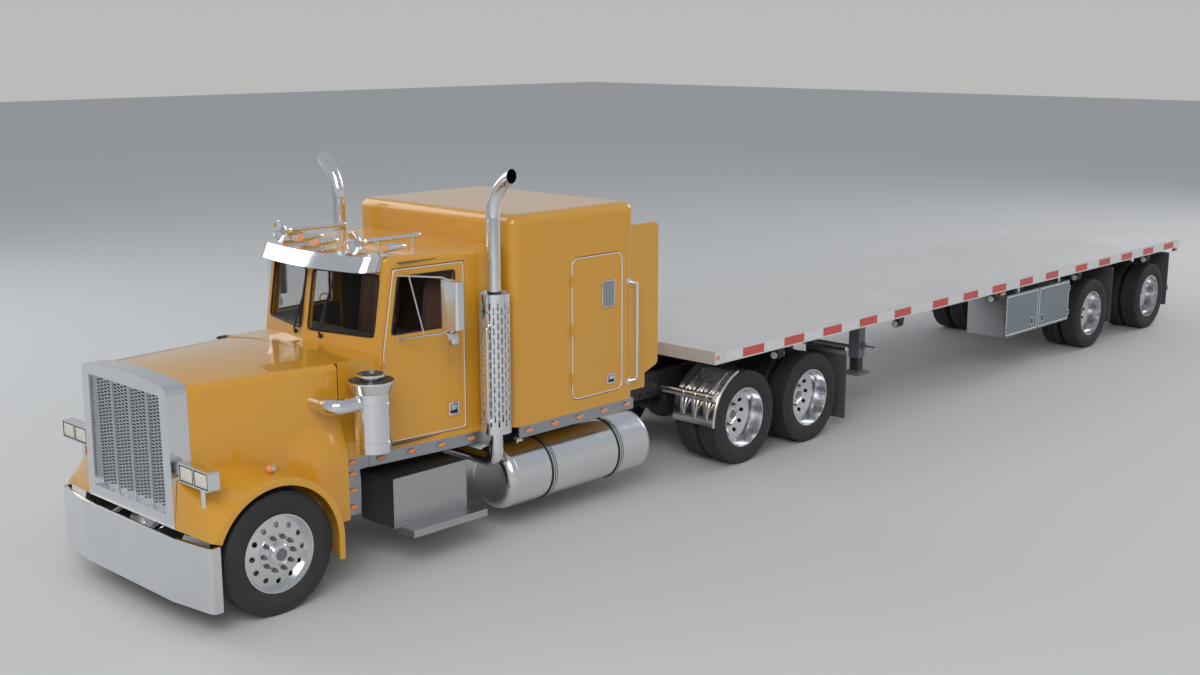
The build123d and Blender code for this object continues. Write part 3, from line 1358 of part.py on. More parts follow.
def make_wheel_guards():
    """A quarter fender ahead of the first drive wheels and a flap behind the second, each on its tube."""
    guards = []
    cy, cz = drive_stations[0], tyre_radius
    inner, outer = quarter_radius, quarter_radius + quarter_wall
    span = quarter_end - quarter_start
    a0, a1 = radians(quarter_start), radians(quarter_end)
    edges = [CenterArc((cy, cz), inner, quarter_start, span), CenterArc((cy, cz), outer, quarter_start, span),
             Line((cy + inner * cos(a0), cz + inner * sin(a0)), (cy + outer * cos(a0), cz + outer * sin(a0))),
             Line((cy + inner * cos(a1), cz + inner * sin(a1)), (cy + outer * cos(a1), cz + outer * sin(a1)))]
    sheet = extrude(Plane.YZ.offset(quarter_inner_x) * make_face(Wire(edges)), amount=quarter_outer_x - quarter_inner_x)
    rim_path = Plane.YZ.offset(quarter_outer_x - quarter_edge) * CenterArc((cy, cz), outer + quarter_edge - 3, quarter_start, span)
    sheet += sweep(Plane(origin=rim_path @ 0, z_dir=rim_path % 0) * Circle(quarter_edge), path=rim_path)
    angle = radians(quarter_post_angle)
    reach = outer + quarter_post_radius - 1
    tube = shaft(rail_outer_x + seat_gap, quarter_outer_x - 20, cy + reach * cos(angle), cz + reach * sin(angle), quarter_post_radius)
    for x in quarter_strap_x:
        strap = [CenterArc((cy, cz), outer - 1, quarter_start + 6, span - 12), CenterArc((cy, cz), outer + 9, quarter_start + 6, span - 12)]
        ends = [Line(strap[0] @ 0, strap[1] @ 0), Line(strap[0] @ 1, strap[1] @ 1)]
        face = Plane.YZ.offset(x - quarter_strap_half) * make_face(Wire(strap + ends))
        sheet += extrude(face, amount=2 * quarter_strap_half)
        sheet += block(x - quarter_strap_half, x + quarter_strap_half, cy + (outer + 60) * cos(angle), cy + outer * cos(angle),
                       cz + reach * sin(angle) - 12, cz + reach * sin(angle) + 12)
    sheet += tube
    hanger = shaft(rail_outer_x + seat_gap, flap_outer_x + 10, flap_y - 20, flap_top_z + 10, 26)
    hanger += block(flap_inner_x, flap_outer_x, flap_y - flap_thickness / 2, flap_y + flap_thickness / 2, flap_bottom_z, flap_top_z)
    for piece in (sheet, hanger):
        guards += [piece, mirrored(piece)]
    return guards


# Trailer

def make_deck():
    deck = block(-deck_half + side_rail_thickness - 1, deck_half - side_rail_thickness + 1, deck_front_y + 1, deck_rear_y - 1,
                 deck_top_z - deck_plank, deck_top_z)
    for side in (-1, 1):
        rail = block(side * (deck_half - side_rail_flange), side * deck_half, deck_front_y, deck_rear_y,
                     side_rail_bottom_z, deck_top_z)
        rail -= block(side * (deck_half - side_rail_flange - 1), side * (deck_half - side_rail_thickness / 2),
                      deck_front_y - 1, deck_rear_y + 1, side_rail_bottom_z + 12, deck_top_z - deck_plank)
        deck += rail
    for y0, y1 in ((deck_front_y, deck_front_y + 40), (deck_rear_y - 40, deck_rear_y)):
        deck += block(-deck_half, deck_half, y0, y1, side_rail_bottom_z, deck_top_z)
    middle_z = (side_rail_bottom_z + deck_top_z) / 2
    for x in tail_lamp_x:
        for side in (-1, 1):
            deck -= bar_along_y(side * x, deck_rear_y - tail_lamp_recess, deck_rear_y + 1, middle_z, tail_lamp_radius)
    for side in (-1, 1):
        for y in winch_stations:
            deck += block(side * (deck_half - 70), side * (deck_half - 8), y - 60, y + 60, side_rail_bottom_z - 50, side_rail_bottom_z + 1)
            deck += bar_along_y(side * (deck_half - 60), y - 75, y + 75, side_rail_bottom_z - 80, 40)
    return deck


def cross_bottom_z():
    return deck_top_z - deck_plank - seat_gap - trailer_cross_height


def cross_station(index):
    return beam_front_y + 100 + index * trailer_cross_pitch


def beam_band(low, high):
    """The main beam's side outline between two heights over its lower edge."""
    line = [(beam_front_y, beam_shallow_z), (beam_taper_start_y, beam_shallow_z),
            (beam_taper_end_y, beam_deep_z), (beam_rear_y, beam_deep_z)]
    return [(y, z + low) for y, z in line] + [(y, z + high) for y, z in reversed(line)]


def main_beam(side):
    top = deck_top_z - deck_plank - seat_gap
    x = side * beam_x
    web = side_plate(beam_band(0, 0)[:4] + [(beam_rear_y, top), (beam_front_y, top)],
                     x - beam_web / 2, x + beam_web / 2)
    low = side_plate(beam_band(0, beam_flange), x - beam_flange_half, x + beam_flange_half)
    high = block(x - beam_flange_half, x + beam_flange_half, beam_front_y, beam_rear_y, top - beam_flange, top)
    bogie = block(x - bogie_half, x + bogie_half, bogie_front_y, bogie_rear_y, bogie_bottom_z, beam_deep_z + 1)
    return web + low + high + bogie


def make_trailer_frame():
    frame = main_beam(1) + main_beam(-1)
    top = deck_top_z - deck_plank - seat_gap
    count = int((beam_rear_y - beam_front_y) / trailer_cross_pitch)
    inner_edge = deck_half - side_rail_flange - seat_gap
    for index in range(count):
        y = cross_station(index)
        frame += block(-inner_edge, inner_edge, y - trailer_cross_half, y + trailer_cross_half, cross_bottom_z(), top)
    for y in trailer_stations:
        for shift in bogie_member_shifts:
            frame += block(-beam_x, beam_x, y + shift - 40, y + shift + 40, bogie_bottom_z + 30, bogie_bottom_z + 130)
    plate_z = coupler_z + seat_gap
    frame += block(-coupler_half, coupler_half, coupler_front_y, coupler_rear_y, plate_z, plate_z + coupler_plate)
    frame += post(0, kingpin_y, plate_z - kingpin_length, plate_z + 1, kingpin_shank_radius)
    return frame


def make_landing_gear():
    """Two legs with inner tubes and feet, a cross shaft, and mounts against the main beams."""
    beam_face = beam_x + beam_flange_half + seat_gap
    top = cross_bottom_z() - seat_gap
    x0, x1 = leg_x - leg_width / 2, leg_x + leg_width / 2
    y0, y1 = leg_y - leg_length / 2, leg_y + leg_length / 2
    w = leg_wall
    leg = block(x0, x1, y0, y1, leg_sleeve_bottom_z, top)
    leg += block(x0 + w, x1 - w, y0 + w, y1 - w, leg_bottom_z, leg_sleeve_bottom_z + 1)
    foot = block(leg_x - foot_half, leg_x + foot_half, leg_y - foot_half, leg_y + foot_half, leg_bottom_z, leg_bottom_z + foot_height)
    leg += chamfer(foot.faces().sort_by(Axis.Z)[-1].edges(), foot_height / 2)
    leg += block(beam_face, x0 + 1, y0, y1, beam_deep_z, beam_deep_z + leg_mount_height)
    leg += side_plate([(y0 + 1, top), (y0 - leg_gusset, top), (y0 + 1, top - leg_gusset)], x1 - w, x1)
    leg += side_plate([(y0 + 1, top), (y0 - leg_gusset, top), (y0 + 1, top - leg_gusset)], x0, x0 + w)
    crank = shaft(x1 - 1, x1 + 190, leg_y, leg_crank_z, 11) + shaft(x1 - 1, x1 + 46, leg_y, leg_crank_z, 40)
    brace = shaft(-x0 - 1, x0 + 1, leg_y, leg_brace_z, 25)
    return leg + mirrored(leg) + brace + crank


def make_trailer_axles():
    """Each axle rides on two trailing arms, under air springs that bear on the bogie rails."""
    pieces = []
    z = tyre_radius
    seat = bogie_bottom_z - seat_gap
    for y in trailer_stations:
        axle = drive_axle(trailer_face_x, y, 64)
        for side in (-1, 1):
            x = side * beam_x
            hanger = side_plate([(y - 420, seat), (y - 240, seat), (y - 280, z - 10), (y - 380, z - 10)], x - 50, x + 50)
            arm = side_plate([(y - 340, z - 5), (y + 60, z - 90), (y + 320, z - 10), (y + 320, z + 62), (y + 60, z + 90),
                              (y - 340, z + 60)], x - 40, x + 40)
            bag = post(x, y + 210, z + 60, seat, air_bag_radius)
            for height in (0.34, 0.66):
                bag -= Pos(x, y + 210, z + 62 + (seat - z - 62) * height) * Torus(air_bag_radius + 6, 18)
            axle += hanger + arm + bag
        pieces.append(axle)
    return pieces


def toolbox_hinges(y_end, way):
    """Hinges at one end of the toolbox; way points from that end towards its middle."""
    r = small_hinge_radius
    x, y = toolbox_outer_x + r + 1, y_end - way * 4
    return [hinge(x, y, z, r, small_hinge_half_height, (toolbox_outer_x - 70, x - 2, y_end - way * 8, y_end + way),
                  (toolbox_outer_x - 2, toolbox_outer_x + r, y, y_end + way * hinge_leaf)) for z in toolbox_hinge_heights]


def make_toolbox():
    w = toolbox_wall
    x0, x1 = toolbox_inner_x, toolbox_outer_x
    case = block(x0, x1 - toolbox_door_wall, toolbox_front_y, toolbox_rear_y, toolbox_bottom_z, toolbox_top_z)
    case -= block(x0 + w, x1 + 1, toolbox_front_y + w, toolbox_rear_y - w, toolbox_bottom_z + w, toolbox_top_z - w)
    for index in toolbox_hanger_crosses:
        y = cross_station(index)
        case += block(x0 + 100, x0 + 160, y - 30, y + 30, toolbox_top_z - 1, cross_bottom_z() - seat_gap)
        case += block(x1 - 160, x1 - 100, y - 30, y + 30, toolbox_top_z - 1, cross_bottom_z() - seat_gap)
    for y_end, way in ((toolbox_front_y, 1), (toolbox_rear_y, -1)):
        for fixed, moving in toolbox_hinges(y_end, way):
            case += fixed
    return case


def toolbox_door(y0, y1, hinges):
    g = joint_gap / 2
    face = toolbox_outer_x
    door = block(face - toolbox_door_wall + 5, face, y0 + g, y1 - g, toolbox_bottom_z + 2, toolbox_top_z - 2)
    for fixed, moving in hinges:
        door += moving
    return door


def make_trailer_flaps():
    flaps = []
    for side in (-1, 1):
        for y in trailer_stations:
            y_flap = y + tyre_radius + 110
            flap = block(side * 660, side * 1250, y_flap - 5, y_flap + 5, 300, 1120)
            bracket = block(side * (beam_x + beam_flange_half + seat_gap), side * 1250, y_flap - 30, y_flap + 6, 1110, 1170)
            flaps.append(flap + bracket)
    return flaps


def make_rear_guard():
    bar = shaft(-guard_half, guard_half, guard_rear_y - guard_radius, guard_bottom_z + guard_radius, guard_radius)
    half = guard_post_half
    for side in (-1, 1):
        bar += block(side * beam_x - half, side * beam_x + half, guard_rear_y - 90, guard_rear_y - 10, guard_bottom_z + 40,
                     beam_deep_z + 1)
    return bar


save_wheels()
knuckle = make_knuckle()
save("steer_knuckle_left", knuckle)
save("steer_knuckle_right", mirrored(knuckle))
save("tractor_axles", *make_tractor_axles())
save("tractor_frame", make_tractor_frame())
save("engine", *make_engine())
save("fifth_wheel", make_fifth_wheel())
save("hood", make_hood())
save("front_fenders", *make_front_fenders())
save("radiator_shell", make_radiator_shell())
save("grille", make_grille())
save("headlamps", *make_headlamps())
save("bumper", make_bumper())
cab = cab_walls()
save("cab_shell", make_cab_shell(cab))
save("windscreen", *make_windscreen())
save("cab_interior", *make_interior())
save("steering_wheel", make_steering_wheel())
for name, side in (("left", 1), ("right", -1)):
    save(f"door_{name}", door_slab(cab, side))
    save(f"door_glass_{name}", door_glass(side))
    save(f"mirror_{name}", make_mirror(side))
sleeper_box = sleeper_walls()
save("sleeper", make_sleeper(sleeper_box))
save("sleeper_door", make_sleeper_door(sleeper_box))
save("side_skirts", *make_skirts())
save("step_boxes", *make_step_boxes())
save("fuel_tanks", *make_tanks())
save("exhausts", *make_exhausts())
save("air_cleaners", *make_air_cleaners())
save("visor", make_visor())
save("horns", *make_horns())
save("wheel_guards", *make_wheel_guards())
save("trailer_deck", make_deck())
save("trailer_frame", make_trailer_frame() + make_rear_guard())
save("landing_gear", make_landing_gear())
save("trailer_axles", *make_trailer_axles())
save("toolbox", make_toolbox())
middle_y = (toolbox_front_y + toolbox_rear_y) / 2
save("toolbox_door_front", toolbox_door(toolbox_front_y, middle_y, toolbox_hinges(toolbox_front_y, 1)))
save("toolbox_door_rear", toolbox_door(middle_y, toolbox_rear_y, toolbox_hinges(toolbox_rear_y, -1)))
save("trailer_flaps", *make_trailer_flaps())
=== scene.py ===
from functools import partial
from math import acos, atan2, cos, pi, radians, sin, tan

import bmesh
import bpy
from mathutils import Matrix, Vector


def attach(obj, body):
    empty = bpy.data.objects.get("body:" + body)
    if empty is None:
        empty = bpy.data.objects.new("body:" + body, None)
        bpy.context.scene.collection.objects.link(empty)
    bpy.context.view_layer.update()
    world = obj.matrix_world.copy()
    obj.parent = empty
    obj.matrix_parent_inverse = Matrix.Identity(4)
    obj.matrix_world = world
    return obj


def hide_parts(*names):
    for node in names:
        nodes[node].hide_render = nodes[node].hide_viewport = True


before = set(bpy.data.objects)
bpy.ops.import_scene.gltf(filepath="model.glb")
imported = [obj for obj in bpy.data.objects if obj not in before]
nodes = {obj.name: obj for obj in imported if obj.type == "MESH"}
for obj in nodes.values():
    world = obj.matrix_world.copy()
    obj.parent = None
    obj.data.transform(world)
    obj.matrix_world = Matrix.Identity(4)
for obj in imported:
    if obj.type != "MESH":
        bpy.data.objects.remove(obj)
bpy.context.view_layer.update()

scene = bpy.context.scene
midStation = 8.421  # stations run back from the steer axle, y = station - midStation
sides = (("left", 1), ("right", -1))


def at(x, station, z):
    return Vector((x, station - midStation, z))


# Shader helpers: plain values are set on a node's inputs, other sockets are linked to them

def addNode(tree, kind, values, **settings):
    node = tree.nodes.new(kind if "Node" in kind else "ShaderNode" + kind)
    for key, value in settings.items():
        setattr(node, key, value)
    for label, value in values.items():
        if isinstance(value, (int, float, tuple, str)):
            node.inputs[label].default_value = value
        else:
            tree.links.new(value, node.inputs[label])
    return node


def newGroup(name, inputs, outputs, kind="ShaderNodeTree"):
    group = bpy.data.node_groups.new(name, kind)
    for label, form, *default in inputs:
        socket = group.interface.new_socket(label, in_out="INPUT", socket_type="NodeSocket" + form)
        if default:
            socket.default_value = default[0]
    for label, form in outputs:
        group.interface.new_socket(label, in_out="OUTPUT", socket_type="NodeSocket" + form)
    return group, group.nodes.new("NodeGroupInput").outputs, group.nodes.new("NodeGroupOutput").inputs


def mathNode(tree, kind, *values, clamp=False):
    return addNode(tree, "Math", dict(enumerate(values)), operation=kind, use_clamp=clamp).outputs[0]


def noiseNode(tree, vector, scale, detail=3.0, rough=0.55):
    values = {"Vector": vector, "Scale": scale, "Detail": detail, "Roughness": rough}
    return addNode(tree, "TexNoise", values).outputs["Fac"]


def mixColour(tree, factor, first, second):
    return addNode(tree, "Mix", {0: factor, 6: first, 7: second}, data_type="RGBA").outputs[2]


def bumpNode(tree, height, strength, distance):
    values = {"Strength": strength, "Distance": distance, "Height": height}
    return addNode(tree, "Bump", values).outputs["Normal"]


def splitVector(tree, vector):
    return addNode(tree, "SeparateXYZ", {0: vector}).outputs


def makeGrainGroup():
    group, start, end = newGroup("finishGrain", [("Vector", "Vector"), ("Scale", "Float", 60.0),
                                                 ("Strength", "Float", 0.1), ("Distance", "Float", 0.001)],
                                 [("Mask", "Float"), ("Normal", "Vector")])
    fine = noiseNode(group, start["Vector"], start["Scale"])
    group.links.new(fine, end["Mask"])
    group.links.new(bumpNode(group, fine, start["Strength"], start["Distance"]), end["Normal"])
    return group


def makeRoadDustGroup():
    # dust gathers near the road and in patches
    group, start, end = newGroup("roadDust", [("Vector", "Vector"), ("Color", "Color", (0.5, 0.5, 0.5, 1)),
                                              ("Dust", "Color", (0.22, 0.2, 0.17, 1)),
                                              ("Height", "Float", 1.0), ("Amount", "Float", 0.2)],
                                 [("Color", "Color"), ("Mask", "Float")])
    share = mathNode(group, "DIVIDE", splitVector(group, start["Vector"])["Z"], start["Height"])
    low = mathNode(group, "SUBTRACT", 1.0, share, clamp=True)
    patches = noiseNode(group, start["Vector"], 3.5, 5.0)
    lowPatches = mathNode(group, "MULTIPLY", low, patches)
    spread = mathNode(group, "MULTIPLY", lowPatches, start["Amount"], clamp=True)
    group.links.new(mixColour(group, spread, start["Color"], start["Dust"]), end["Color"])
    group.links.new(spread, end["Mask"])
    return group


plateLook = {"along": 0.62, "across": 0.2, "facing": 0.7, "depth": 0.003}


def makePlateGroup():
    # raised lugs of tread plate, turned by turns, on whichever plane the face lies
    group, start, end = newGroup("treadPlate", [("Vector", "Vector"), ("Pitch", "Float", 0.03)],
                                 [("Height", "Float")])
    normal = group.nodes.new("ShaderNodeNewGeometry").outputs["True Normal"]
    facing = splitVector(group, addNode(group, "VectorMath", {0: normal}, operation="ABSOLUTE").outputs[0])
    place = splitVector(group, start["Vector"])
    calc = partial(mathNode, group)

    def pick(flag, first, second):
        return addNode(group, "Mix", {0: flag, 2: first, 3: second}).outputs[0]

    sideways = calc("GREATER_THAN", facing["X"], plateLook["facing"])
    upward = calc("GREATER_THAN", facing["Z"], plateLook["facing"])
    u = calc("DIVIDE", pick(sideways, place["X"], place["Y"]), start["Pitch"])
    v = calc("DIVIDE", pick(upward, place["Z"], pick(sideways, place["Y"], place["X"])), start["Pitch"])
    cell = calc("ABSOLUTE", calc("ADD", calc("FLOOR", u), calc("FLOOR", v)))
    flip = calc("SUBTRACT", calc("MULTIPLY", calc("MODULO", cell, 2.0), 2.0), 1.0)
    du = calc("SUBTRACT", calc("FRACT", u), 0.5)
    dv = calc("MULTIPLY", calc("SUBTRACT", calc("FRACT", v), 0.5), flip)
    along = calc("DIVIDE", calc("ADD", du, dv), plateLook["along"])
    across = calc("DIVIDE", calc("SUBTRACT", du, dv), plateLook["across"])
    reach = calc("ADD", calc("MULTIPLY", along, along), calc("MULTIPLY", across, across))
    group.links.new(calc("SUBTRACT", 1.0, reach, clamp=True), end["Height"])
    return group


grainGroup = makeGrainGroup()
roadDustGroup = makeRoadDustGroup()
plateGroup = makePlateGroup()


# Materials

def newMaterial(name, colour, roughness, metallic=0.0, **settings):
    material = bpy.data.materials.new(name)
    material.use_nodes = True
    shader = material.node_tree.nodes["Principled BSDF"].inputs
    shader["Base Color"].default_value = (*colour, 1)
    shader["Roughness"].default_value = roughness
    shader["Metallic"].default_value = metallic
    for key, value in settings.items():
        shader[key].default_value = value
    return material, material.node_tree, shader


def objectCoordinates(tree):
    return tree.nodes.new("ShaderNodeTexCoord").outputs["Object"]


def placeGroup(tree, group, vector, **values):
    return addNode(tree, "Group", dict(values, Vector=vector), node_tree=group).outputs


def grained(tree, shader, vector, scale, strength, distance):
    grain = placeGroup(tree, grainGroup, vector, Scale=scale, Strength=strength, Distance=distance)
    tree.links.new(grain["Normal"], shader["Normal"])
    return grain["Mask"]


def varied(tree, shader, mask, low, high):
    values = {"Value": mask, "From Min": 0.3, "From Max": 0.7, "To Min": low, "To Max": high}
    tree.links.new(addNode(tree, "MapRange", values).outputs["Result"], shader["Roughness"])


def finish(name, colour, rough, metallic=0.0, grain=60.0, strength=0.08, distance=0.001, dust=0.0,
           dustHeight=1.2, shift=0.06, **settings):
    material, tree, shader = newMaterial(name, colour, rough[0], metallic, **settings)
    vector = objectCoordinates(tree)
    varied(tree, shader, grained(tree, shader, vector, grain, strength, distance), *rough)
    darker = tuple(channel * (1 - shift) for channel in colour) + (1,)
    lighter = tuple(min(1, channel * (1 + shift)) for channel in colour) + (1,)
    tint = mixColour(tree, noiseNode(tree, vector, 2.2, 4.0), darker, lighter)
    if dust:
        tint = placeGroup(tree, roadDustGroup, vector, Height=dustHeight, Amount=dust, Color=tint)["Color"]
    tree.links.new(tint, shader["Base Color"])
    return material


paintLook = {"Coat Weight": 0.9, "Coat Roughness": 0.04}
bodyPaint = finish("bodyPaint", (0.70, 0.335, 0.022), (0.24, 0.30), grain=900, strength=0.015,
                   distance=0.0002, shift=0.03, dust=0.10, dustHeight=0.9, **paintLook)
chrome = finish("chrome", (0.80, 0.81, 0.83), (0.07, 0.13), 1.0, 14, 0.01, 0.002, 0.12, 0.8)
polishedAluminium = finish("polishedAluminium", (0.78, 0.79, 0.81), (0.15, 0.22), 1.0, 8, 0.003, dust=0.08,
                           dustHeight=0.9)
blackSteel = finish("blackSteel", (0.018, 0.019, 0.021), (0.38, 0.55), 0.0, 180, 0.12, 0.0006, 0.45)
castIron = finish("castIron", (0.035, 0.035, 0.038), (0.5, 0.7), 0.3, 240, 0.3, 0.001, 0.5)
greySteel = finish("greySteel", (0.20, 0.215, 0.235), (0.42, 0.55), 0.0, 150, 0.1, 0.0006, 0.3)
darkTrim = finish("darkTrim", (0.095, 0.090, 0.086), (0.5, 0.62), 0.0, 400, 0.2, 0.0006)
rubberSeal = finish("rubberSeal", (0.012, 0.012, 0.013), (0.55, 0.65), 0.0, 300, 0.1, 0.0005)
wheelLeather = finish("wheelLeather", (0.03, 0.026, 0.024), (0.4, 0.5), 0.0, 520, 0.3, 0.0006)
doorSilver = finish("doorSilver", (0.27, 0.31, 0.35), (0.32, 0.42), 0.75, 40, 0.05)
# light metal for the toolbox doors' edges and for the lines round the cab and sleeper doors, which are
# painted highlights along the door seams
trimAndHighlight = finish("trimAndHighlight", (0.86, 0.86, 0.86), (0.32, 0.38), 0.5, 60, 0.02)
nutSteel = finish("nutSteel", (0.26, 0.27, 0.29), (0.28, 0.36), 1.0, 80, 0.05)
blackPlastic = finish("blackPlastic", (0.015, 0.015, 0.016), (0.35, 0.45), 0.0, 260, 0.08, 0.0005)
mirrorGlass = finish("mirrorGlass", (0.75, 0.77, 0.78), (0.02, 0.03), 1.0, 4, 0.003)


def makeBrushed(name, colour, rough, stretch):
    # grain drawn out along one way of the piece
    material, tree, shader = newMaterial(name, colour, rough, 1.0)
    drawn = addNode(tree, "Mapping", {"Scale": stretch, "Vector": objectCoordinates(tree)}).outputs["Vector"]
    varied(tree, shader, grained(tree, shader, drawn, 140.0, 0.12, 0.0006), rough, rough + 0.12)
    return material


brushedSteel = makeBrushed("brushedSteel", (0.42, 0.44, 0.47), 0.26, (1.0, 0.06, 1.0))
grilleSteel = makeBrushed("grilleSteel", (0.50, 0.52, 0.55), 0.22, (1.0, 1.0, 0.08))


def makePlate(name, colour, rough, metallic, pitch, strength):
    material, tree, shader = newMaterial(name, colour, rough, metallic)
    height = placeGroup(tree, plateGroup, objectCoordinates(tree), Pitch=pitch)["Height"]
    tree.links.new(bumpNode(tree, height, strength, plateLook["depth"]), shader["Normal"])
    # the flats between the lugs are painted darker than the lugs' tops, as shade
    low = tuple(channel * 0.72 for channel in colour) + (1,)
    tree.links.new(mixColour(tree, height, low, (*colour, 1)), shader["Base Color"])
    return material


treadPlate = makePlate("treadPlate", (0.66, 0.67, 0.69), 0.3, 0.9, 0.034, 0.7)
flapPlate = makePlate("flapPattern", (0.13, 0.12, 0.115), 0.55, 0.0, 0.07, 0.8)

deckLook = {"top": 1.3785, "weave": 0.085, "colour": (0.60, 0.59, 0.575), "plank": 0.152, "seam": 0.018,
            "rib": 0.0254, "cross": 0.0508, "roughness": 0.42, "light": (0.88, 0.875, 0.865, 1),
            "dull": (0.78, 0.778, 0.765, 1), "joint": (0.13, 0.125, 0.12, 1), "line": (0.3, 0.295, 0.29, 1),
            "ribShare": 0.2, "seamShare": 0.4, "jointShare": 0.3, "lineShare": 0.42, "lineFrom": 0.25}


def makeDeckMetal():
    # extruded planks along the deck, with fine ribs across their width, a woven tread and stained joints
    look = deckLook
    material, tree, shader = newMaterial("deckAluminium", look["colour"], look["roughness"], 0.55)
    vector = objectCoordinates(tree)
    place = splitVector(tree, vector)
    calc = partial(mathNode, tree)

    def wave(value, pitch):
        return calc("SINE", calc("MULTIPLY", value, 2 * pi / pitch))

    phase = calc("FRACT", calc("DIVIDE", place["X"], look["plank"]))
    seam = calc("GREATER_THAN", calc("ABSOLUTE", calc("SUBTRACT", phase, 0.5)), 0.5 - look["seam"])
    top = calc("GREATER_THAN", place["Z"], look["top"])
    weave = calc("MULTIPLY", wave(calc("ADD", place["X"], place["Y"]), look["weave"]),
                 wave(calc("SUBTRACT", place["X"], place["Y"]), look["weave"]))
    ribs = calc("ADD", calc("ADD", wave(place["X"], look["rib"]), wave(place["Y"], look["cross"])), weave)
    raised = calc("SUBTRACT", calc("MULTIPLY", ribs, look["ribShare"]),
                  calc("MULTIPLY", seam, look["seamShare"]))
    tree.links.new(bumpNode(tree, calc("MULTIPLY", raised, top), 0.55, 0.003), shader["Normal"])
    stains = noiseNode(tree, vector, 1.1, 6.0, 0.65)
    base = mixColour(tree, stains, look["dull"], look["light"])
    joints = calc("MULTIPLY", calc("MULTIPLY", seam, top), look["jointShare"])
    lines = calc("MULTIPLY", calc("GREATER_THAN", weave, look["lineFrom"]),
                 calc("MULTIPLY", top, look["lineShare"]))
    dark = mixColour(tree, joints, base, look["joint"])
    tree.links.new(mixColour(tree, lines, dark, look["line"]), shader["Base Color"])
    varied(tree, shader, stains, 0.36, 0.52)
    return material


def makeTyreRubber():
    colour = (0.018, 0.018, 0.019)
    material, tree, shader = newMaterial("tyreRubber", colour, 0.7)
    vector = objectCoordinates(tree)
    varied(tree, shader, grained(tree, shader, vector, 220.0, 0.18, 0.0008), 0.6, 0.8)
    dust = placeGroup(tree, roadDustGroup, vector, Height=1.6, Amount=0.35, Color=(*colour, 1),
                      Dust=(0.11, 0.105, 0.1, 1))
    tree.links.new(dust["Color"], shader["Base Color"])
    return material


def makeGlass():
    material, tree, shader = newMaterial("tintedGlass", (0.80, 0.80, 0.80), 0.0,
                                         **{"Transmission Weight": 1.0, "IOR": 1.15})
    grained(tree, shader, objectCoordinates(tree), 3.0, 0.015, 0.002)
    return material


def makeLens(name, colour, pitch=0.006):
    # moulded ribs inside the lens
    material, tree, shader = newMaterial(name, colour, 0.12, **{"IOR": 1.4, "Coat Weight": 0.6})
    place = splitVector(tree, objectCoordinates(tree))
    waves = [mathNode(tree, "SINE", mathNode(tree, "MULTIPLY", place[axis], 2 * pi / pitch)) for axis in "XZ"]
    wave = mathNode(tree, "ADD", *waves)
    tree.links.new(bumpNode(tree, wave, 0.25, 0.001), shader["Normal"])
    # painted shading of the ribs: darker in their troughs, lighter on their crests
    low = tuple(channel * 0.8 for channel in colour) + (1,)
    share = mathNode(tree, "MULTIPLY_ADD", wave, 0.12, 0.5)
    tree.links.new(mixColour(tree, share, low, (*colour, 1)), shader["Base Color"])
    return material


def makeTape(name, colour):
    # retroreflective sheeting with its honeycomb
    material, tree, shader = newMaterial(name, colour, 0.35)
    cells = addNode(tree, "TexVoronoi", {"Scale": 260.0, "Vector": objectCoordinates(tree)},
                    feature="DISTANCE_TO_EDGE").outputs["Distance"]
    edge = mathNode(tree, "MULTIPLY", mathNode(tree, "LESS_THAN", cells, 0.08), 0.35)
    tree.links.new(mixColour(tree, edge, (*colour, 1), (0.35, 0.35, 0.35, 1)), shader["Base Color"])
    tree.links.new(bumpNode(tree, cells, 0.1, 0.0004), shader["Normal"])
    return material


def makeSeatLeather():
    material, tree, shader = newMaterial("seatLeather", (0.16, 0.07, 0.035), 0.45)
    vector = objectCoordinates(tree)
    cells = addNode(tree, "TexVoronoi", {"Scale": 320.0, "Vector": vector}).outputs["Distance"]
    tree.links.new(bumpNode(tree, cells, 0.25, 0.0008), shader["Normal"])
    wear = noiseNode(tree, vector, 6.0, 5.0)
    worn = mixColour(tree, wear, (0.24, 0.10, 0.055, 1), (0.36, 0.16, 0.09, 1))
    tree.links.new(worn, shader["Base Color"])
    varied(tree, shader, wear, 0.36, 0.52)
    return material


deckAluminium = makeDeckMetal()
tyreRubber = makeTyreRubber()
tintedGlass = makeGlass()
amberLens = makeLens("amberLens", (1.0, 0.34, 0.10))
redLens = makeLens("redLens", (0.60, 0.015, 0.012))
clearLens = makeLens("clearLens", (0.86, 0.80, 0.70), 0.012)
redTape = makeTape("redTape", (0.72, 0.050, 0.040))
whiteTape = makeTape("whiteTape", (0.86, 0.86, 0.85))
seatLeather = makeSeatLeather()
print("materials ready")


# The CAD nodes that show get these finishes; the others are told by a word in their name

finishes = ((blackSteel, "tractor_frame"), (castIron, "tractor_axles engine fifth_wheel trailer_axles"),
            (chrome, "bumper exhausts air_cleaners visor horns headlamps"), (darkTrim, "cab_interior"),
            (brushedSteel, "side_skirts"), (treadPlate, "step_boxes"),
            (greySteel, "trailer_frame landing_gear"), (grilleSteel, "grille"),
            (polishedAluminium, "fuel_tanks wheel_guards radiator_shell toolbox"),
            (deckAluminium, "trailer_deck"), (flapPlate, "trailer_flaps"), (wheelLeather, "steering_wheel"),
            (tintedGlass, "windscreen"), (doorSilver, "toolbox_door_front toolbox_door_rear"))
nodeFinish = {name: material for material, names in finishes for name in names.split()}
wordFinish = (("tyre", tyreRubber), ("glass", tintedGlass), ("rim", polishedAluminium), ("knuckle", castIron),
              ("mirror", chrome), ("", bodyPaint))
slotOf = {"chrome": "chrome", "nutSteel": "chrome", "trimAndHighlight": "chrome", "blackSteel": "black_steel",
          "castIron": "black_steel", "greySteel": "grey_steel", "brushedSteel": "stainless",
          "polishedAluminium": "polished_aluminium", "darkTrim": "cabin_trim", "bodyPaint": "yellow_paint",
          "flapPattern": "flap_rubber", "tyreRubber": "tyre_rubber"}


def dress(item, material):
    item.data.materials.clear()
    item.data.materials.append(material)


for nodeName, item in nodes.items():
    byWord = next(material for word, material in wordFinish if word in nodeName)
    dress(item, nodeFinish.get(nodeName, byWord))
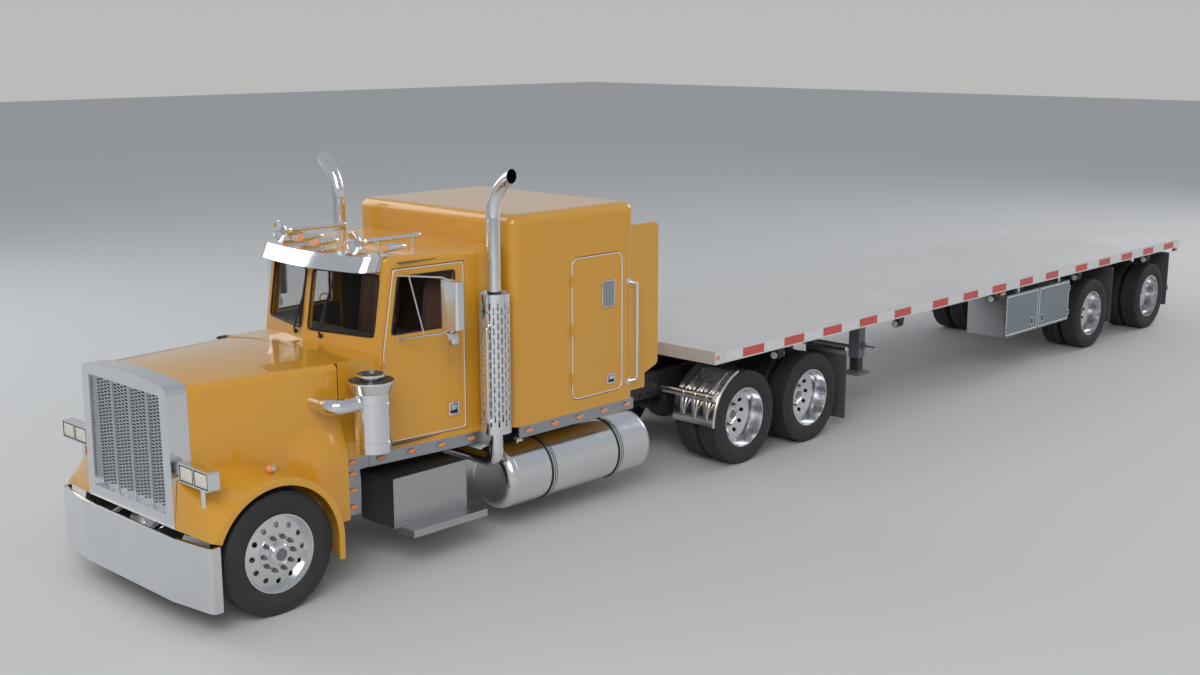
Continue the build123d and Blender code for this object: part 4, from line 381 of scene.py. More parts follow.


# Makers of added pieces; addMesh works out a slot from the finish unless one is given, but keeps it nowhere

turnedSharp = 32  # degrees between faces from which an edge stays sharp, on turned forms and on skins
skinSharp = 40


def addMesh(name, mesh, material, body, slot=None, smooth=False, sharp=None):
    item = bpy.data.objects.new(name, mesh)
    scene.collection.objects.link(item)
    dress(item, material)
    for face in mesh.polygons:
        face.use_smooth = smooth
    if sharp:
        mesh.set_sharp_from_angle(angle=radians(sharp))
    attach(item, body)
    slot = slot or slotOf.get(material.name.split(".")[0])  # the frame may hold a material of the same name
    return item


def meshFrom(form, name):
    bmesh.ops.remove_doubles(form, verts=form.verts, dist=1e-6)
    bmesh.ops.recalc_face_normals(form, faces=form.faces)
    mesh = bpy.data.meshes.new(name)
    form.to_mesh(mesh)
    form.free()
    return mesh


def joinRims(form, first, second, closed=True):
    for index in range(len(first) if closed else len(first) - 1):
        after = (index + 1) % len(first)
        form.faces.new([first[index], first[after], second[after], second[index]])


def gridFaces(form, grid):
    for low, high in zip(grid, grid[1:]):
        joinRims(form, low, high, closed=False)


def gridRim(grid):
    return grid[0] + [line[-1] for line in grid[1:]] + grid[-1][-2::-1] + [line[0] for line in grid[-2:0:-1]]


def addSlabs(name, slabs, material, body, bevel=0.002):
    # slabs are (x0, x1, station0, station1, z0, z1)
    form = bmesh.new()
    for x0, x1, y0, y1, z0, z1 in slabs:
        place = Matrix.Translation(at((x0 + x1) / 2, (y0 + y1) / 2, (z0 + z1) / 2))
        size = Matrix.Diagonal((abs(x1 - x0), abs(y1 - y0), abs(z1 - z0), 1))
        bmesh.ops.create_cube(form, size=1.0, matrix=place @ size)
    if bevel:
        bmesh.ops.bevel(form, geom=list(form.edges), offset=bevel, segments=2, affect="EDGES",
                        clamp_overlap=True)
    return addMesh(name, meshFrom(form, name), material, body)


def latheMesh(form, profile, matrix, steps, closed=True):
    # profile of (distance along the axis, radius), turned about local x
    rings = []
    for step in range(steps):
        turn = 2 * pi * step / steps
        rings.append([form.verts.new(matrix @ Vector((along, radius * cos(turn), radius * sin(turn))))
                      for along, radius in profile])
    for here, there in zip(rings, rings[1:] + rings[:1]):
        joinRims(form, here, there, closed)
    return rings


axisTurn = {"X": Matrix.Identity(4), "Y": Matrix.Rotation(pi / 2, 4, "Z"),
            "Z": Matrix.Rotation(-pi / 2, 4, "Y")}


def addTurned(name, pieces, material, body, steps=40):
    # pieces are (centre, axis, profile of (along, radius)); a profile from axis to axis is a closed form
    form = bmesh.new()
    for centre, axis, profile in pieces:
        latheMesh(form, profile, Matrix.Translation(centre) @ axisTurn[axis], steps, profile[0][1] > 0)
    return addMesh(name, meshFrom(form, name), material, body, smooth=True, sharp=turnedSharp)


def band(start, end, inner, outer):
    return [(start, inner), (start, outer), (end, outer), (end, inner)]


def addPrisms(name, prisms, material, body):
    # each prism is (corners of one face, vector to the other)
    form = bmesh.new()
    for corners, vector in prisms:
        near = [form.verts.new(corner) for corner in corners]
        far = [form.verts.new(corner + vector) for corner in corners]
        form.faces.new(near)
        form.faces.new(list(reversed(far)))
        joinRims(form, near, far)
    return addMesh(name, meshFrom(form, name), material, body)


def evaluated(holder):
    # the finished mesh of a curve or a node tree, without its holder
    scene.collection.objects.link(holder)
    bpy.context.view_layer.update()
    mesh = bpy.data.meshes.new_from_object(holder.evaluated_get(bpy.context.evaluated_depsgraph_get()))
    bpy.data.objects.remove(holder)
    return mesh


def addTube(name, paths, material, body, radius=0.01, slot=None, cyclic=False, resolution=3):
    curve = bpy.data.curves.new(name, "CURVE")
    curve.dimensions = "3D"
    curve.bevel_depth = radius
    curve.bevel_resolution = resolution
    curve.use_fill_caps = True
    for points in paths:
        spline = curve.splines.new("POLY")
        spline.points.add(len(points) - 1)
        for point, place in zip(spline.points, points):
            point.co = (*place, 1)
        spline.use_cyclic_u = cyclic
    mesh = evaluated(bpy.data.objects.new(name + "Line", curve))
    return addMesh(name, mesh, material, body, slot, smooth=True)


def roundPath(points, radius, closed=False, steps=5):
    points = [Vector(point) for point in points]
    path = []
    for index, point in enumerate(points):
        if not closed and index in (0, len(points) - 1):
            path.append(point)
            continue
        before, after = points[index - 1] - point, points[(index + 1) % len(points)] - point
        reach = min(radius / tan(before.angle(after) / 2), before.length * 0.49, after.length * 0.49)
        start, end = point + before.normalized() * reach, point + after.normalized() * reach
        for step in range(steps + 1):
            share = step / steps
            path.append(start.lerp(point, share).lerp(point.lerp(end, share), share))
    return path


# Makers for both sides: shapes(way) gives what the maker takes, and a body ending in _ takes the side's name

def addSides(maker, name, shapes, material, body, **settings):
    for side, way in sides:
        owner = body + side if body.endswith("_") else body
        maker(f"{name}_{side}", shapes(way), material, owner, **settings)


def slabsOn(*slabs):
    return lambda way: [(way * x0, way * x1, *rest) for x0, x1, *rest in slabs]


def turnedOn(profile, *spots, axis="Y"):
    return lambda way: [(at(way * x, station, z), axis, profile) for x, station, z in spots]


def lineOn(points, radius, closed=False, steps=5):
    def lines(way):
        return [roundPath([at(way * x, station, z) for x, station, z in points], radius, closed, steps)]

    return lines


def onBoth(shapes):
    return [shape for side, way in sides for shape in shapes(way)]


# Geometry Nodes trees that repeat a small form at points; each point's "turn" is its rotation

def newTree(name, inputs):
    shared = [("Geometry", "Geometry"), ("Finish", "Material")]
    return newGroup(name, shared + inputs, [("Geometry", "Geometry")], "GeometryNodeTree")


def endTree(tree, start, end, form):
    turn = addNode(tree, "GeometryNodeInputNamedAttribute", {"Name": "turn"}, data_type="FLOAT_VECTOR")
    values = {"Points": start["Geometry"], "Instance": form, "Rotation": turn.outputs["Attribute"]}
    spread = addNode(tree, "GeometryNodeInstanceOnPoints", values).outputs["Instances"]
    real = addNode(tree, "GeometryNodeRealizeInstances", {"Geometry": spread}).outputs["Geometry"]
    coat = addNode(tree, "GeometryNodeSetMaterial", {"Geometry": real, "Material": start["Finish"]})
    tree.links.new(coat.outputs["Geometry"], end["Geometry"])
    return tree


def makeBoltTree():
    tree, start, end = newTree("boltHeads", [("Head radius", "Float", 0.018), ("Head height", "Float", 0.02),
                                             ("Washer radius", "Float", 0.026), ("Sides", "Int", 6)])
    top = mathNode(tree, "MULTIPLY", start["Head radius"], 0.82)
    cone = {"Vertices": start["Sides"], "Radius Bottom": start["Head radius"], "Radius Top": top,
            "Depth": start["Head height"]}
    head = addNode(tree, "GeometryNodeMeshCone", cone)
    washer = addNode(tree, "GeometryNodeMeshCylinder", {"Vertices": 16, "Depth": 0.006,
                                                        "Radius": start["Washer radius"]})
    both = tree.nodes.new("GeometryNodeJoinGeometry")
    for form in (head, washer):
        tree.links.new(form.outputs["Mesh"], both.inputs[0])
    return endTree(tree, start, end, both.outputs[0])


def makeDomeTree():
    tree, start, end = newTree("domes", [("Size", "Vector", (0.02, 0.02, 0.01))])
    ball = addNode(tree, "GeometryNodeMeshUVSphere", {"Segments": 14, "Rings": 8}).outputs["Mesh"]
    shape = addNode(tree, "GeometryNodeTransform", {"Geometry": ball, "Scale": start["Size"]})
    return endTree(tree, start, end, shape.outputs["Geometry"])


boltTree = makeBoltTree()
domeTree = makeDomeTree()


def addRepeats(name, tree, spots, material, body, smooth=False, **sizes):
    # spots are (place, turn)
    mesh = bpy.data.meshes.new(name + "Spots")
    mesh.from_pydata([tuple(place) for place, turn in spots], [], [])
    turns = mesh.attributes.new("turn", "FLOAT_VECTOR", "POINT")
    for index, (place, turn) in enumerate(spots):
        turns.data[index].vector = turn
    holder = bpy.data.objects.new(name + "Holder", mesh)
    modifier = holder.modifiers.new("repeat", "NODES")
    modifier.node_group = tree
    values = dict(sizes, Finish=material)
    for entry in tree.interface.items_tree:
        label = entry.name.replace(" ", "_")
        if entry.in_out == "INPUT" and label in values:
            modifier[entry.identifier] = values[label]
    return addMesh(name, evaluated(holder), material, body, smooth=smooth)


noTurn = (0, 0, 0)
faceOut = {1: (0, pi / 2, 0), -1: (0, -pi / 2, 0)}  # local z turned to the left or to the right
print("makers ready")


# Tyres, with grooves round them and notches across their shoulders

tyreLook = {"radius": 0.5275, "width": 0.279, "tread": 0.226, "bead": 0.337, "steps": 144,
            "grooveDepth": 0.013, "shoulderNotch": 0.004, "lugEvery": 6, "dual": 0.330,
            "rib": (-0.066, -0.022, 0.022, 0.066), "lug": (-0.058, 0.0, 0.058)}
wheelSets = [("steer", 0.0, 1.162, 1), ("drive_front", 6.084, 1.230, 2), ("drive_rear", 7.325, 1.230, 2),
             ("trailer_front", 14.598, 1.254, 2), ("trailer_rear", 16.689, 1.254, 2)]
wheelRadius = tyreLook["radius"]


def treadProfile(ribbed):
    look = tyreLook
    r, half, w, d = look["radius"], look["tread"] / 2, look["width"] / 2, look["grooveDepth"]
    wall = [(-0.112, look["bead"]), (-0.126, look["bead"] + 0.012), (-w + 0.004, r - 0.128), (-w, r - 0.098),
            (-w + 0.003, r - 0.060), (-w + 0.007, r - 0.054), (-w + 0.008, r - 0.030),
            (-half - 0.006, r - 0.012), (-half, r - 0.002)]
    crown = []
    for centre in look["rib" if ribbed else "lug"]:
        crown += [(centre - 0.006, r), (centre - 0.004, r - d), (centre + 0.004, r - d), (centre + 0.006, r)]
    outer = [(-along, radius) for along, radius in reversed(wall)]
    inner = [(0.106, look["bead"]), (-0.106, look["bead"])]
    return wall + crown + outer + inner, len(wall), len(crown)


def addTyre(form, centre, station, ribbed):
    look = tyreLook
    profile, wallCount, crownCount = treadProfile(ribbed)
    axis = at(centre, station, look["radius"])
    end = wallCount + crownCount
    edges = [wallCount - 2, wallCount - 1, wallCount, end - 1, end, end + 1]
    if not ribbed:
        edges += range(wallCount + 3, end - 3)
    for step, ring in enumerate(latheMesh(form, profile, Matrix.Translation(axis), look["steps"])):
        for index in edges if step % look["lugEvery"] < 2 else ():
            vertex = ring[index]
            flat = Vector((0, vertex.co.y - axis.y, vertex.co.z - axis.z))
            if flat.length > look["radius"] - look["grooveDepth"] - 0.001:
                vertex.co -= flat.normalized() * look["shoulderNotch"]


def wheelBody(setName, side):
    return f"steer_wheel_{side}" if setName == "steer" else f"{setName}_wheels_{side}"


for setName, station, face, count in wheelSets:
    for side, way in sides:
        nodeName = f"{setName}_tyre{'' if setName == 'steer' else 's'}_{side}"
        form = bmesh.new()
        outer = face - tyreLook["width"] / 2
        for centre in (outer, outer - tyreLook["dual"])[:count]:
            addTyre(form, way * centre, station, not setName.startswith("drive"))
        tyre = addMesh(nodeName.replace("tyre", "treadedTyre"), meshFrom(form, nodeName), tyreRubber,
                       wheelBody(setName, side), smooth=True, sharp=turnedSharp)
        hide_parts(nodeName)
print("tyres ready")


# Wheel nuts and hub caps; middle is the rim's disc from the outer face, nuts and cap are their feet over it

nutLook = {"count": 10, "circle": 0.143, "Head_radius": 0.0165, "Head_height": 0.03, "Washer_radius": 0.021}
hubLook = {"steer": {"middle": -0.0475, "nuts": 0.016, "cap": 0.028, "radius": 0.088},
           "twin": {"middle": -0.3045, "nuts": 0.032, "cap": 0.094, "radius": 0.086},
           "dark": 0.0215, "height": 0.022, "steps": 32,
           "shape": ((0, 0), (0, 1), (0.55, 1), (0.8, 0.92), (0.95, 0.7), (1, 0.45), (1, 0))}
darkDisc = [(0, 0), (0, 0.052), (0.004, 0.052), (0.006, 0.046), (0.006, 0)]


def addHubPiece(name, x, station, way, profile, material, body):
    form = bmesh.new()
    matrix = Matrix.Translation(at(way * x, station, wheelRadius)) @ Matrix.Diagonal((way, 1, 1, 1))
    latheMesh(form, profile, matrix, hubLook["steps"], closed=False)
    addMesh(name, meshFrom(form, name), material, body)


for setName, station, face, count in wheelSets:
    hub = hubLook["steer" if count == 1 else "twin"]
    middle = face + hub["middle"]
    turns = [2 * pi * index / nutLook["count"] for index in range(nutLook["count"])]
    sizes = {key: value for key, value in nutLook.items() if "_" in key}
    cap = [(along * hubLook["height"], radius * hub["radius"]) for along, radius in hubLook["shape"]]
    for side, way in sides:
        body = wheelBody(setName, side)
        spots = [(at(way * (middle + hub["nuts"]), station + nutLook["circle"] * cos(turn),
                     wheelRadius + nutLook["circle"] * sin(turn)), faceOut[way]) for turn in turns]
        addRepeats(f"{setName}_nuts_{side}", boltTree, spots, nutSteel, body, **sizes)
        addHubPiece(f"{setName}_cap_{side}", middle + hub["cap"], station, way, cap, chrome, body)
        dark = middle + hub["cap"] + hubLook["dark"]
        addHubPiece(f"{setName}_capDark_{side}", dark, station, way, darkDisc, nutSteel, body)
print("wheel trim ready")


# Where the cab's side and the windscreen lie

sweep = 0.235  # station gained per metre of x by the screen and the row of roof lamps


def cabSide(station):
    return 0.870 + 0.0985 * (station - 1.30)


def screenStation(x, z):
    return 1.112 + 0.165 * (z - 2.093) + sweep * abs(x)


# Marker lamps, roof lamps and horns

lampLook = {"side": (0.011, 0.048, 0.0195), "roof": (0.036, 0.034, 0.036), "fender": (0.034, 0.034, 0.034),
            "roofX": (-0.755, -0.345, 0, 0.345, 0.755), "roofStation": 1.3007, "roofZ": 2.862,
            "hornX": (-0.50, 0.62), "fenderX": 1.05, "fenderZ": 1.234}
lampSpots = [(cabSide(y) + 0.0145, y, 1.020) for y in (1.277, 1.600, 1.924, 2.254)]
lampSpots += [(1.1645, y, 1.018) for y in (2.822, 3.166, 3.508, 3.853, 4.196)]
lampSpots += [(0.8645, 0.970, z) for z in (0.631, 0.783, 0.933, 1.035)]
torpedo = [(-0.004, 0), (-0.004, 0.0335), (-0.006, 0.037), (0.004, 0.039), (0.02, 0.038), (0.16, 0.030),
           (0.215, 0.021), (0.24, 0.010), (0.245, 0)]
trumpet = [(0.030, 0), (0.030, 0.026), (0.006, 0.070), (-0.006, 0.093), (-0.012, 0.098), (-0.010, 0.101),
           (0.012, 0.094), (0.045, 0.062), (0.080, 0.036), (0.130, 0.025), (0.30, 0.021), (0.66, 0.019),
           (0.675, 0.028), (0.705, 0.032), (0.730, 0.024), (0.738, 0)]
lampRim = [(-0.004, 0.031), (-0.004, 0.037), (0.026, 0.037), (0.032, 0.026)]


def addDomes(name, places, material, body, size):
    addRepeats(name, domeTree, [(place, noTurn) for place in places], material, body, smooth=True, Size=size)


roofPlaces = [at(x, lampLook["roofStation"] + sweep * abs(x), lampLook["roofZ"]) for x in lampLook["roofX"]]
fenderPlaces = [at(way * lampLook["fenderX"], -0.003, lampLook["fenderZ"]) for side, way in sides]
fenderRims = turnedOn(lampRim, (lampLook["fenderX"], 0.006, lampLook["fenderZ"]))
sidePlaces = [at(way * x, y, z) for x, y, z in lampSpots for side, way in sides]
addDomes("sideLampLenses", sidePlaces, amberLens, "tractor", lampLook["side"])
addDomes("roofLampLenses", roofPlaces, amberLens, "tractor", lampLook["roof"])
addDomes("fenderLampLenses", fenderPlaces, amberLens, "hood", lampLook["fender"])
addTurned("roofLampShells", [(place, "Y", torpedo) for place in roofPlaces], chrome, "tractor")
addTurned("hornTrumpets", [(at(x, 1.252, 2.922), "Y", trumpet) for x in lampLook["hornX"]], chrome, "tractor")
addTurned("fenderLampRims", onBoth(fenderRims), chrome, "hood")
print("marker lamps ready")


# Headlamps: a black bucket, a bulged ribbed lens and a black bezel for each of the four

headLook = {"inner": 0.760, "width": 0.201, "gap": 0.213, "low": 1.220, "high": 1.356, "face": -0.646,
            "columns": 14, "rows": 10, "lens": (0.092, 0.059), "bezel": (0.0945, 0.0615), "bulge": 0.014}


def addHeadlamps():
    look = headLook
    buckets, lenses, bezels = [], bmesh.new(), []
    zm, front = (look["low"] + look["high"]) / 2, look["face"] - 0.004
    for way, index in ((way, index) for side, way in sides for index in range(2)):
        x0 = look["inner"] + index * look["gap"]
        x1 = x0 + look["width"]
        xm = way * (x0 + x1) / 2
        buckets.append((way * x0, way * x1, look["face"] - 0.002, look["face"], look["low"], look["high"]))
        grid = []
        for v in (2 * row / look["rows"] - 1 for row in range(look["rows"] + 1)):
            line = []
            for u in (2 * column / look["columns"] - 1 for column in range(look["columns"] + 1)):
                bulge = look["bulge"] * (1 - abs(u) ** 3) * (1 - abs(v) ** 3)
                line.append(lenses.verts.new(at(xm + way * u * look["lens"][0], front - bulge,
                                                zm + v * look["lens"][1])))
            grid.append(line)
        gridFaces(lenses, grid)
        edge = gridRim(grid)
        back = [lenses.verts.new(vertex.co + Vector((0, 0.004, 0))) for vertex in edge]
        joinRims(lenses, edge, back)
        lenses.faces.new(back)
        corners = [at(xm + a * look["bezel"][0], front, zm + b * look["bezel"][1])
                   for a, b in ((-1, -1), (1, -1), (1, 1), (-1, 1))]
        bezels.append(roundPath(corners, 0.012, closed=True))
    addSlabs("headlampBuckets", buckets, blackPlastic, "hood", bevel=0)
    addMesh("headlampLenses", meshFrom(lenses, "headlampLenses"), clearLens, "hood", smooth=True,
            sharp=skinSharp)
    addTube("headlampBezels", bezels, blackPlastic, "hood", 0.0040, cyclic=True)


addHeadlamps()
print("headlamps ready")


# Conspicuity tape and lamps along the deck and at the rear

tapeLook = {"x": (1.2955, 1.2967), "z": (1.257, 1.353), "start": 5.634, "end": 17.40, "red": 0.38,
            "starts": [5.917, 6.670, 7.426, 8.178, 8.946, 9.844, 10.612, 11.377, 12.142, 12.912, 13.839,
                       14.612, 15.393, 16.181, 16.969],
            # first x, width, how many of each colour, then station and height from and to
            "rear": ((-1.26, 0.14, 9, 17.597, 17.5982, 1.352, 1.378),
                     (-1.05, 0.15, 7, 17.5605, 17.562, 0.525, 0.575))}
redEnds = [start + tapeLook["red"] for start in tapeLook["starts"]]
redSpans = list(zip(tapeLook["starts"], redEnds))
whiteSpans = list(zip([tapeLook["start"]] + redEnds, tapeLook["starts"] + [tapeLook["end"]]))
for colour, tape, spans, shift in (("Red", redTape, redSpans, 0), ("White", whiteTape, whiteSpans, 1)):
    slabs = [(*tapeLook["x"], *span, *tapeLook["z"]) for span in spans]
    addSides(addSlabs, f"railTape{colour}", slabsOn(*slabs), tape, "trailer", bevel=0)
    slabs = []
    for first, width, count, *rest in tapeLook["rear"]:
        lefts = [first + (2 * index + shift) * width for index in range(count)]
        slabs += [(x, x + width, *rest) for x in lefts]
    addSlabs(f"rearTape{colour}", slabs, tape, "trailer", bevel=0)

railLook = {"corner": (1.296, 1.304, 5.456, 5.516, 1.293, 1.329), "amber": 11.70, "red": 17.465,
            "x": (1.268, 1.300), "half": 0.052, "z": (1.190, 1.226), "plateX": (1.262, 1.269),
            "plateHalf": 0.062, "plateZ": (1.184, 1.244)}


def underLamp(station, x="x", half="half", z="z"):
    return (*railLook[x], station - railLook[half], station + railLook[half], *railLook[z])


plates = [underLamp(railLook[colour], "plateX", "plateHalf", "plateZ") for colour in ("amber", "red")]
railRows = (("Amber", (railLook["corner"], underLamp(railLook["amber"])), amberLens, 0.006),
            ("Red", (underLamp(railLook["red"]),), redLens, 0.006), ("Plates", plates, blackSteel, 0.001))
for name, slabs, material, bevel in railRows:
    label = "railLamp" + (name if name == "Plates" else "s" + name)
    addSlabs(label, onBoth(slabsOn(*slabs)), material, "trailer", bevel)
tailSpots = [(x, 17.588, 1.31) for x in (0.56, 0.70, 0.84)]
tailLens = [(0, 0), (0, 0.045), (0.007, 0.0445), (0.014, 0.038), (0.019, 0.022), (0.0205, 0)]
addTurned("tailLampLenses", onBoth(turnedOn(tailLens, *tailSpots)), redLens, "trailer")
tailSeal = band(0.0085, 0.0125, 0.044, 0.052)
addTurned("tailLampSeals", onBoth(turnedOn(tailSeal, *tailSpots)), rubberSeal, "trailer")
print("deck trim ready")


# Painted highlight lines along the doors' seams, latches and seals of the doors, and the mirrors' glasses

trimLook = {"radius": 0.0062, "seal": 0.009, "screenSeal": 0.010, "latch": cabSide(2.065) + 0.012,
            "mirror": 1.328}


def rectangle(y0, y1, z0, z1):
    return [(y0, z0), (y1, z0), (y1, z1), (y0, z1)]


def onCab(points):
    return [(cabSide(y) + 0.001, y, z) for y, z in points]


def footSlab(foot, x0, x1, *rest):
    return slabsOn((foot + x0, foot + x1, *rest))


doorLine = [(1.335, 1.143), (2.200, 1.143), (2.200, 2.685), (1.458, 2.685), (1.335, 1.957)]
windowLine = [(1.424, 2.114), (2.106, 2.114), (2.106, 2.621), (1.503, 2.621)]
# the bright tube round each door is a painted highlight along the door's seam
addSides(addTube, "doorTrim", lineOn(onCab(doorLine), 0.035, True), trimAndHighlight, "door_",
         radius=trimLook["radius"], cyclic=True)
addSides(addTube, "doorWindowSeal", lineOn(onCab(windowLine), 0.03, True), rubberSeal, "door_",
         radius=trimLook["seal"], cyclic=True)
latchRows = (("Plate", chrome, 0.003, (-0.010, 0.004, 2.002, 2.128, 1.277, 1.400)),
             ("Cup", blackPlastic, 0, (0.0035, 0.0045, 2.024, 2.106, 1.297, 1.380)),
             ("Paddle", chrome, 0.004, (0.004, 0.010, 2.030, 2.100, 1.330, 1.376)))
for name, material, bevel, slab in latchRows:
    addSides(addSlabs, f"doorLatch{name}", footSlab(trimLook["latch"], *slab), material, "door_", bevel=bevel)
mirrorSlab = footSlab(trimLook["mirror"], -0.098, 0.098, 1.7995, 1.803, 2.206, 2.592)
addSides(addSlabs, "mirrorGlass", mirrorSlab, mirrorGlass, "door_", bevel=0.001)
dome = [(0.003, 0), (0.003, 0.0645), (-0.008, 0.061), (-0.018, 0.048), (-0.025, 0.028), (-0.028, 0)]
disc = [(0, 0), (0, 0.058), (0.004, 0.052), (0.007, 0.03), (0.008, 0)]
addSides(addTurned, "convexShell", turnedOn(dome, (trimLook["mirror"], 1.722, 2.093)), chrome, "door_")
addSides(addTurned, "convexGlass", turnedOn(disc, (trimLook["mirror"], 1.7615, 2.093)), mirrorGlass, "door_")

# On the sleeper's door: name, finish, bevel and slab
sleeperRows = (("VentPlate", brushedSteel, 0.004, (1.156, 1.1655, 3.841, 3.999, 2.077, 2.319)),
               ("LatchPlate", chrome, 0.003, (1.149, 1.1615, 3.901, 4.020, 1.277, 1.381)),
               ("LatchCup", blackPlastic, 0, (1.161, 1.162, 3.918, 4.003, 1.293, 1.365)),
               ("LatchPaddle", chrome, 0.004, (1.1615, 1.168, 3.924, 3.997, 1.324, 1.360)))
# the bright tube round the sleeper's door is a painted highlight along its seam
line = [(1.151, y, z) for y, z in rectangle(3.414, 4.126, 1.204, 2.591)]
addTube("sleeperDoorTrim", lineOn(line, 0.083, True, 8)(1), trimAndHighlight, "sleeper_door", trimLook["radius"],
        cyclic=True)
line = [(1.1605, y, z) for y, z in rectangle(3.836, 4.004, 2.072, 2.324)]
addTube("sleeperVentFrame", lineOn(line, 0.012, True)(1), chrome, "sleeper_door", 0.007, cyclic=True)
for name, material, bevel, slab in sleeperRows:
    addSlabs("sleeper" + name, [slab], material, "sleeper_door", bevel)
pane = [(x, screenStation(x, z) - 0.001, z) for x, z in rectangle(0.052, 0.788, 2.097, 2.636)]
addSides(addTube, "screenSeal", lineOn(pane, 0.05, True), rubberSeal, "tractor",
         radius=trimLook["screenSeal"], cyclic=True)
print("door trim ready")


# Wipers: pivot, arm's bend, arm's end and the blade's two ends, in (x, z)

wiperLook = [((0.216, 2.050), (0.236, 2.17), (0.258, 2.36), (0.238, 2.125), (0.318, 2.625)),
             ((-0.138, 2.050), (-0.090, 2.17), (-0.030, 2.36), (-0.060, 2.125), (-0.012, 2.625))]
wiperPivot = [(-0.03, 0), (-0.03, 0.012), (-0.012, 0.018), (0.004, 0.018), (0.004, 0)]


def onScreen(spot, stand):
    return at(spot[0], screenStation(*spot) - stand, spot[1])


arms, blades = [], []
for pivot, bend, end, low, high in wiperLook:
    knee = (pivot[0], pivot[1] + 0.03)
    arms.append(roundPath([onScreen(pivot, 0.004), onScreen(knee, 0.034), onScreen(bend, 0.046),
                           onScreen(end, 0.030)], 0.02))
    blades.append([onScreen(low, 0.016), onScreen(end, 0.022), onScreen(high, 0.016)])
addTube("wiperArms", arms, blackPlastic, "tractor", 0.0085)
addTube("wiperBlades", blades, rubberSeal, "tractor", 0.0105)
pivots = [(onScreen(row[0], 0.0), "Y", wiperPivot) for row in wiperLook]
addTurned("wiperPivots", pivots, blackPlastic, "tractor", 20)
print("wipers ready")


# Inside the cab: the dash alone is kept from the CAD node, with linings and padded seats

cabLook = {"dashRear": 1.87, "gaugeStation": 1.6195, "lining": 0.0475, "liningThick": 0.004,
           "gauges": ((0.30, 1.90), (0.39, 1.90), (0.57, 1.90), (0.66, 1.90), (0.39, 1.81), (0.48, 1.81),
                      (0.57, 1.81))}
gaugeProfile = [(-0.001, 0), (-0.001, 0.036), (0.006, 0.036), (0.008, 0.032), (0.004, 0.031), (0.003, 0)]


def makeDash():
    form = bmesh.new()
    form.from_mesh(nodes["cab_interior"].data)
    bmesh.ops.remove_doubles(form, verts=form.verts, dist=1e-5)
    beyond = [vertex for vertex in form.verts if vertex.co.y > cabLook["dashRear"] - midStation]
    bmesh.ops.delete(form, geom=beyond, context="VERTS")
    item = addMesh("dashPanel", meshFrom(form, "dashPanel"), darkTrim, "tractor")
    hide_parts("cab_interior")


makeDash()
gauges = [(at(x, cabLook["gaugeStation"], z), "Y", gaugeProfile) for x, z in cabLook["gauges"]]
addTurned("gauges", gauges, chrome, "tractor", 20)
linings = [(-0.93, 0.93, 1.24, 2.63, 1.1175, 1.1215), (-0.93, 0.93, 1.50, 2.63, 2.744, 2.750),
           (-0.94, -0.502, 2.630, 2.634, 1.122, 2.744), (0.502, 0.94, 2.630, 2.634, 1.122, 2.744),
           (-0.502, 0.502, 2.630, 2.634, 2.605, 2.744)]
addSlabs("cabLinings", linings, darkTrim, "tractor", bevel=0)


def liningOn(outline):
    return lambda way: [([at(way * (cabSide(y) - cabLook["lining"]), y, z) for y, z in outline],
                         Vector((-way * cabLook["liningThick"], 0, 0)))]


addSides(addPrisms, "doorLining", liningOn(rectangle(1.345, 2.195, 1.150, 2.098)), darkTrim, "door_")
addSides(addPrisms, "cabSideLining", liningOn(rectangle(2.226, 2.628, 1.125, 2.742)), darkTrim, "tractor")


# Seats: x of the middle, half width and spans of the base, then place, half sizes, lean and channels of pads

padLook = {"count": 28, "pinch": 0.05, "groove": 0.16, "grooveHalf": 0.05, "piping": 0.0055}
seatLook = {"x": 0.48, "base": ((0.17, 2.00, 2.34, 1.122, 1.50), (0.23, 1.93, 2.40, 1.50, 1.56)),
            "posts": (-0.06, 0.06), "Cushion": ((2.110, 1.640), (0.265, 0.265, 0.085), 0, (-0.45, 0.0, 0.45)),
            "Back": ((2.350, 2.040), (0.265, 0.395, 0.105), 82, (-0.5, 0.0, 0.5)),
            "Head": ((2.415, 2.535), (0.150, 0.105, 0.055), 82, ())}


def addCushion(name, centre, halves, lean, channels):
    # a crowned pad with a seam round it, sides drawn in between its corners, and sewn channels on both faces
    count, pinch = padLook["count"], padLook["pinch"]
    knots = [sin(pi / 2 * (2 * index / count - 1)) for index in range(count + 1)]
    form = bmesh.new()
    turn = Matrix.Translation(centre) @ Matrix.Rotation(radians(lean), 4, "X")

    def onPad(u, v, height):
        return turn @ Vector((halves[0] * u * (1 - pinch * (1 - v * v)),
                              halves[1] * v * (1 - pinch * (1 - u * u)), height))

    def depth(u, v):
        if abs(u) >= 1 or abs(v) >= 1:
            return 0.0
        crown = (1 - abs(u) ** 5) ** 0.45 * (1 - abs(v) ** 5) ** 0.45
        for channel in channels:
            crown *= 1 - padLook["groove"] * max(0.0, 1 - ((u - channel) / padLook["grooveHalf"]) ** 2)
        return crown

    for face in (1, -1):
        rows = [[onPad(u, v, face * halves[2] * depth(u, v)) for u in knots] for v in knots]
        gridFaces(form, [[form.verts.new(point) for point in row] for row in rows])
    pad = addMesh(name, meshFrom(form, name), seatLeather, "tractor", smooth=True)
    edge = [(k, -1) for k in knots] + [(1, k) for k in knots[1:]] + [(-k, 1) for k in knots[1:]]
    edge += [(-1, -k) for k in knots[1:-1]]
    addTube(name + "Piping", [[onPad(u, v, 0) for u, v in edge]], seatLeather, "tractor", padLook["piping"],
            cyclic=True, resolution=2)


